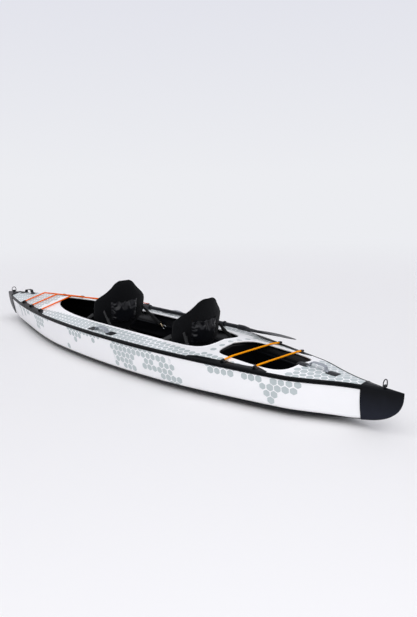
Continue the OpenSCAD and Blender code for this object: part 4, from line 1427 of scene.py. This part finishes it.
# %% Mould the blades
PADDLE_Y = -0.312
PADDLE_Z = sum(v[2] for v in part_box("paddle_shaft")) / 2
BLADE_LENGTH = 0.455
BLADE_WIDTH = 0.168
BLADE_TILT = math.radians(15)
PADDLE_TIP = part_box("paddle_blade_aft")[0][0]
FORE_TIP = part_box("paddle_blade_fore")[1][0]
WIDEST = 0.62
SPINE = (0.013, 0.011)
DISH = (0.010, 0.004)
EDGE_T = 0.0022
THROAT_R = 0.0185
THROAT_PATH = (0.042, 0.040, 0.020, 0.0, -0.02, -0.045, -0.07)
THROAT_SWELL = (0.86, 1, 1, 1, 0.95, 0.72, 0.4)

# Glass-filled nylon: black with a pale flow of fibres, slightly rough.
blade_nylon, tree, shader = blank("Moulded glass-filled nylon, black", "#121317", 0.45,
    Specular_IOR_Level=0.3)
place = add(tree, "TexCoord").outputs["Object"]
flow = speckle(tree, place, 120.0, 5.0, Distortion=0.6)
tint(tree, shader, flow, "#0d0e11", "#1a1b20")
emboss(tree, shader, flow, 0.1, 0.001)


def blade_half(u):
    if u < WIDEST:
        return BLADE_WIDTH / 2 * (0.2 + 0.8 * ease(u / WIDEST))
    return BLADE_WIDTH / 2 * math.sqrt(max(0.0, 1 - ((u - WIDEST) / (1 - WIDEST)) ** 2.6))


def blade(name, tip, way, body, node):
    """A spoon from the throat to the tip. way is +1 where the tip points to the bow."""
    root = tip - way * BLADE_LENGTH
    lean_c, lean_s = math.cos(BLADE_TILT), math.sin(BLADE_TILT)

    def face(u, v, thick):
        turn = math.sin(u * math.pi / 2)
        half = max(0.0006, blade_half(turn))
        share = 2 * v - 1
        y = half * share
        spine = SPINE[0] * math.exp(-((y / SPINE[1]) ** 2)) * (1 - turn) ** 1.5
        dish = DISH[0] * share * share * math.sin(math.pi * min(1, turn * 1.1)) + DISH[1] * turn * turn
        edge = EDGE_T * math.sqrt(max(0.02, 1 - share**4)) + spine
        z = dish - DISH[1] + thick * edge
        return (root + way * BLADE_LENGTH * turn, PADDLE_Y + y * lean_c - z * lean_s,
            PADDLE_Z + y * lean_s + z * lean_c)

    top = skin(name, 46, 30, lambda u, v: face(u, v, 1), (0, 0, 1))
    under = skin("under", 46, 30, lambda u, v: face(u, v, -1), (0, 0, -1))
    join(top, under)
    path = [(root - way * d, PADDLE_Y, PADDLE_Z) for d in THROAT_PATH]
    throat = sweep("throat", path, ring(THROAT_R, 20), up=(0, 0, 1), swell=THROAT_SWELL)
    new = join(top, throat)
    edit(new, merge(1e-5), turn_out)
    smooth(new)
    settle(new, body, "paddle_blade", blade_nylon, node)


blade("aft_blade", PADDLE_TIP, -1, "paddle", "paddle_blade_aft")
blade("fore_blade", FORE_TIP, 1, "upper_paddle", "paddle_blade_fore")

# %% [markdown]
# ## Fittings that stay as the frame drew them
# Valves, rings, hooks and the paddle's shaft are plain turned or bent pieces, and the frame already has
# their true shape. They only need a finish of their own.

# %% Finish the fittings
def metal(name, colour, roughness, gloss, metallic=1.0, scale=320.0, detail=4.0):
    """Plated or drawn metal, with fine marks that change its gloss between two values."""
    material, tree, shader = blank(name, colour, roughness, Metallic=metallic)
    place = add(tree, "TexCoord").outputs["Object"]
    polish(tree, shader, speckle(tree, place, scale, detail), *gloss)
    return material


hook_metal = metal("Die-cast zinc, nickel plated", "#b8a88e", 0.32, (0.20, 0.44))
ring_metal = metal("Stainless steel wire", "#a9abae", 0.28, (0.18, 0.38))
shaft_tube = metal("Anodised aluminium tube, black", "#17191e", 0.32, (0.26, 0.42), 0.6, 90.0, 3.0)
# Acetal: a bright orange with the faint peel of a mould.
orange_plastic = grained("Moulded acetal, orange", "#ee5a1c", 0.38, 500.0, 2.0, 0.1, 0.0005)

FINISHES = ((black_inside, ("bulkhead", "seat_anchor_tabs")),
    (cap_plastic, ("ring_lugs", "skeg_box")),
    (fitting_plastic, ("valve_bodies", "floor_valve_cap", "port_valve_cap", "starboard_valve_cap",
        "drain_port", "drain_plug", "paddle_clamp", "bow_ring", "stern_ring")),
    (ring_metal, ("seat_anchor_rings",)), (hook_metal, ("strap_hooks",)),
    (shaft_tube, ("paddle_shaft", "paddle_upper_shaft")), (orange_plastic, ("clamp_lever",)))
for material, names in FINISHES:
    for name in names:
        dress(nodes[name], material)
print("finished", sum(len(names) for _, names in FINISHES), "fittings")
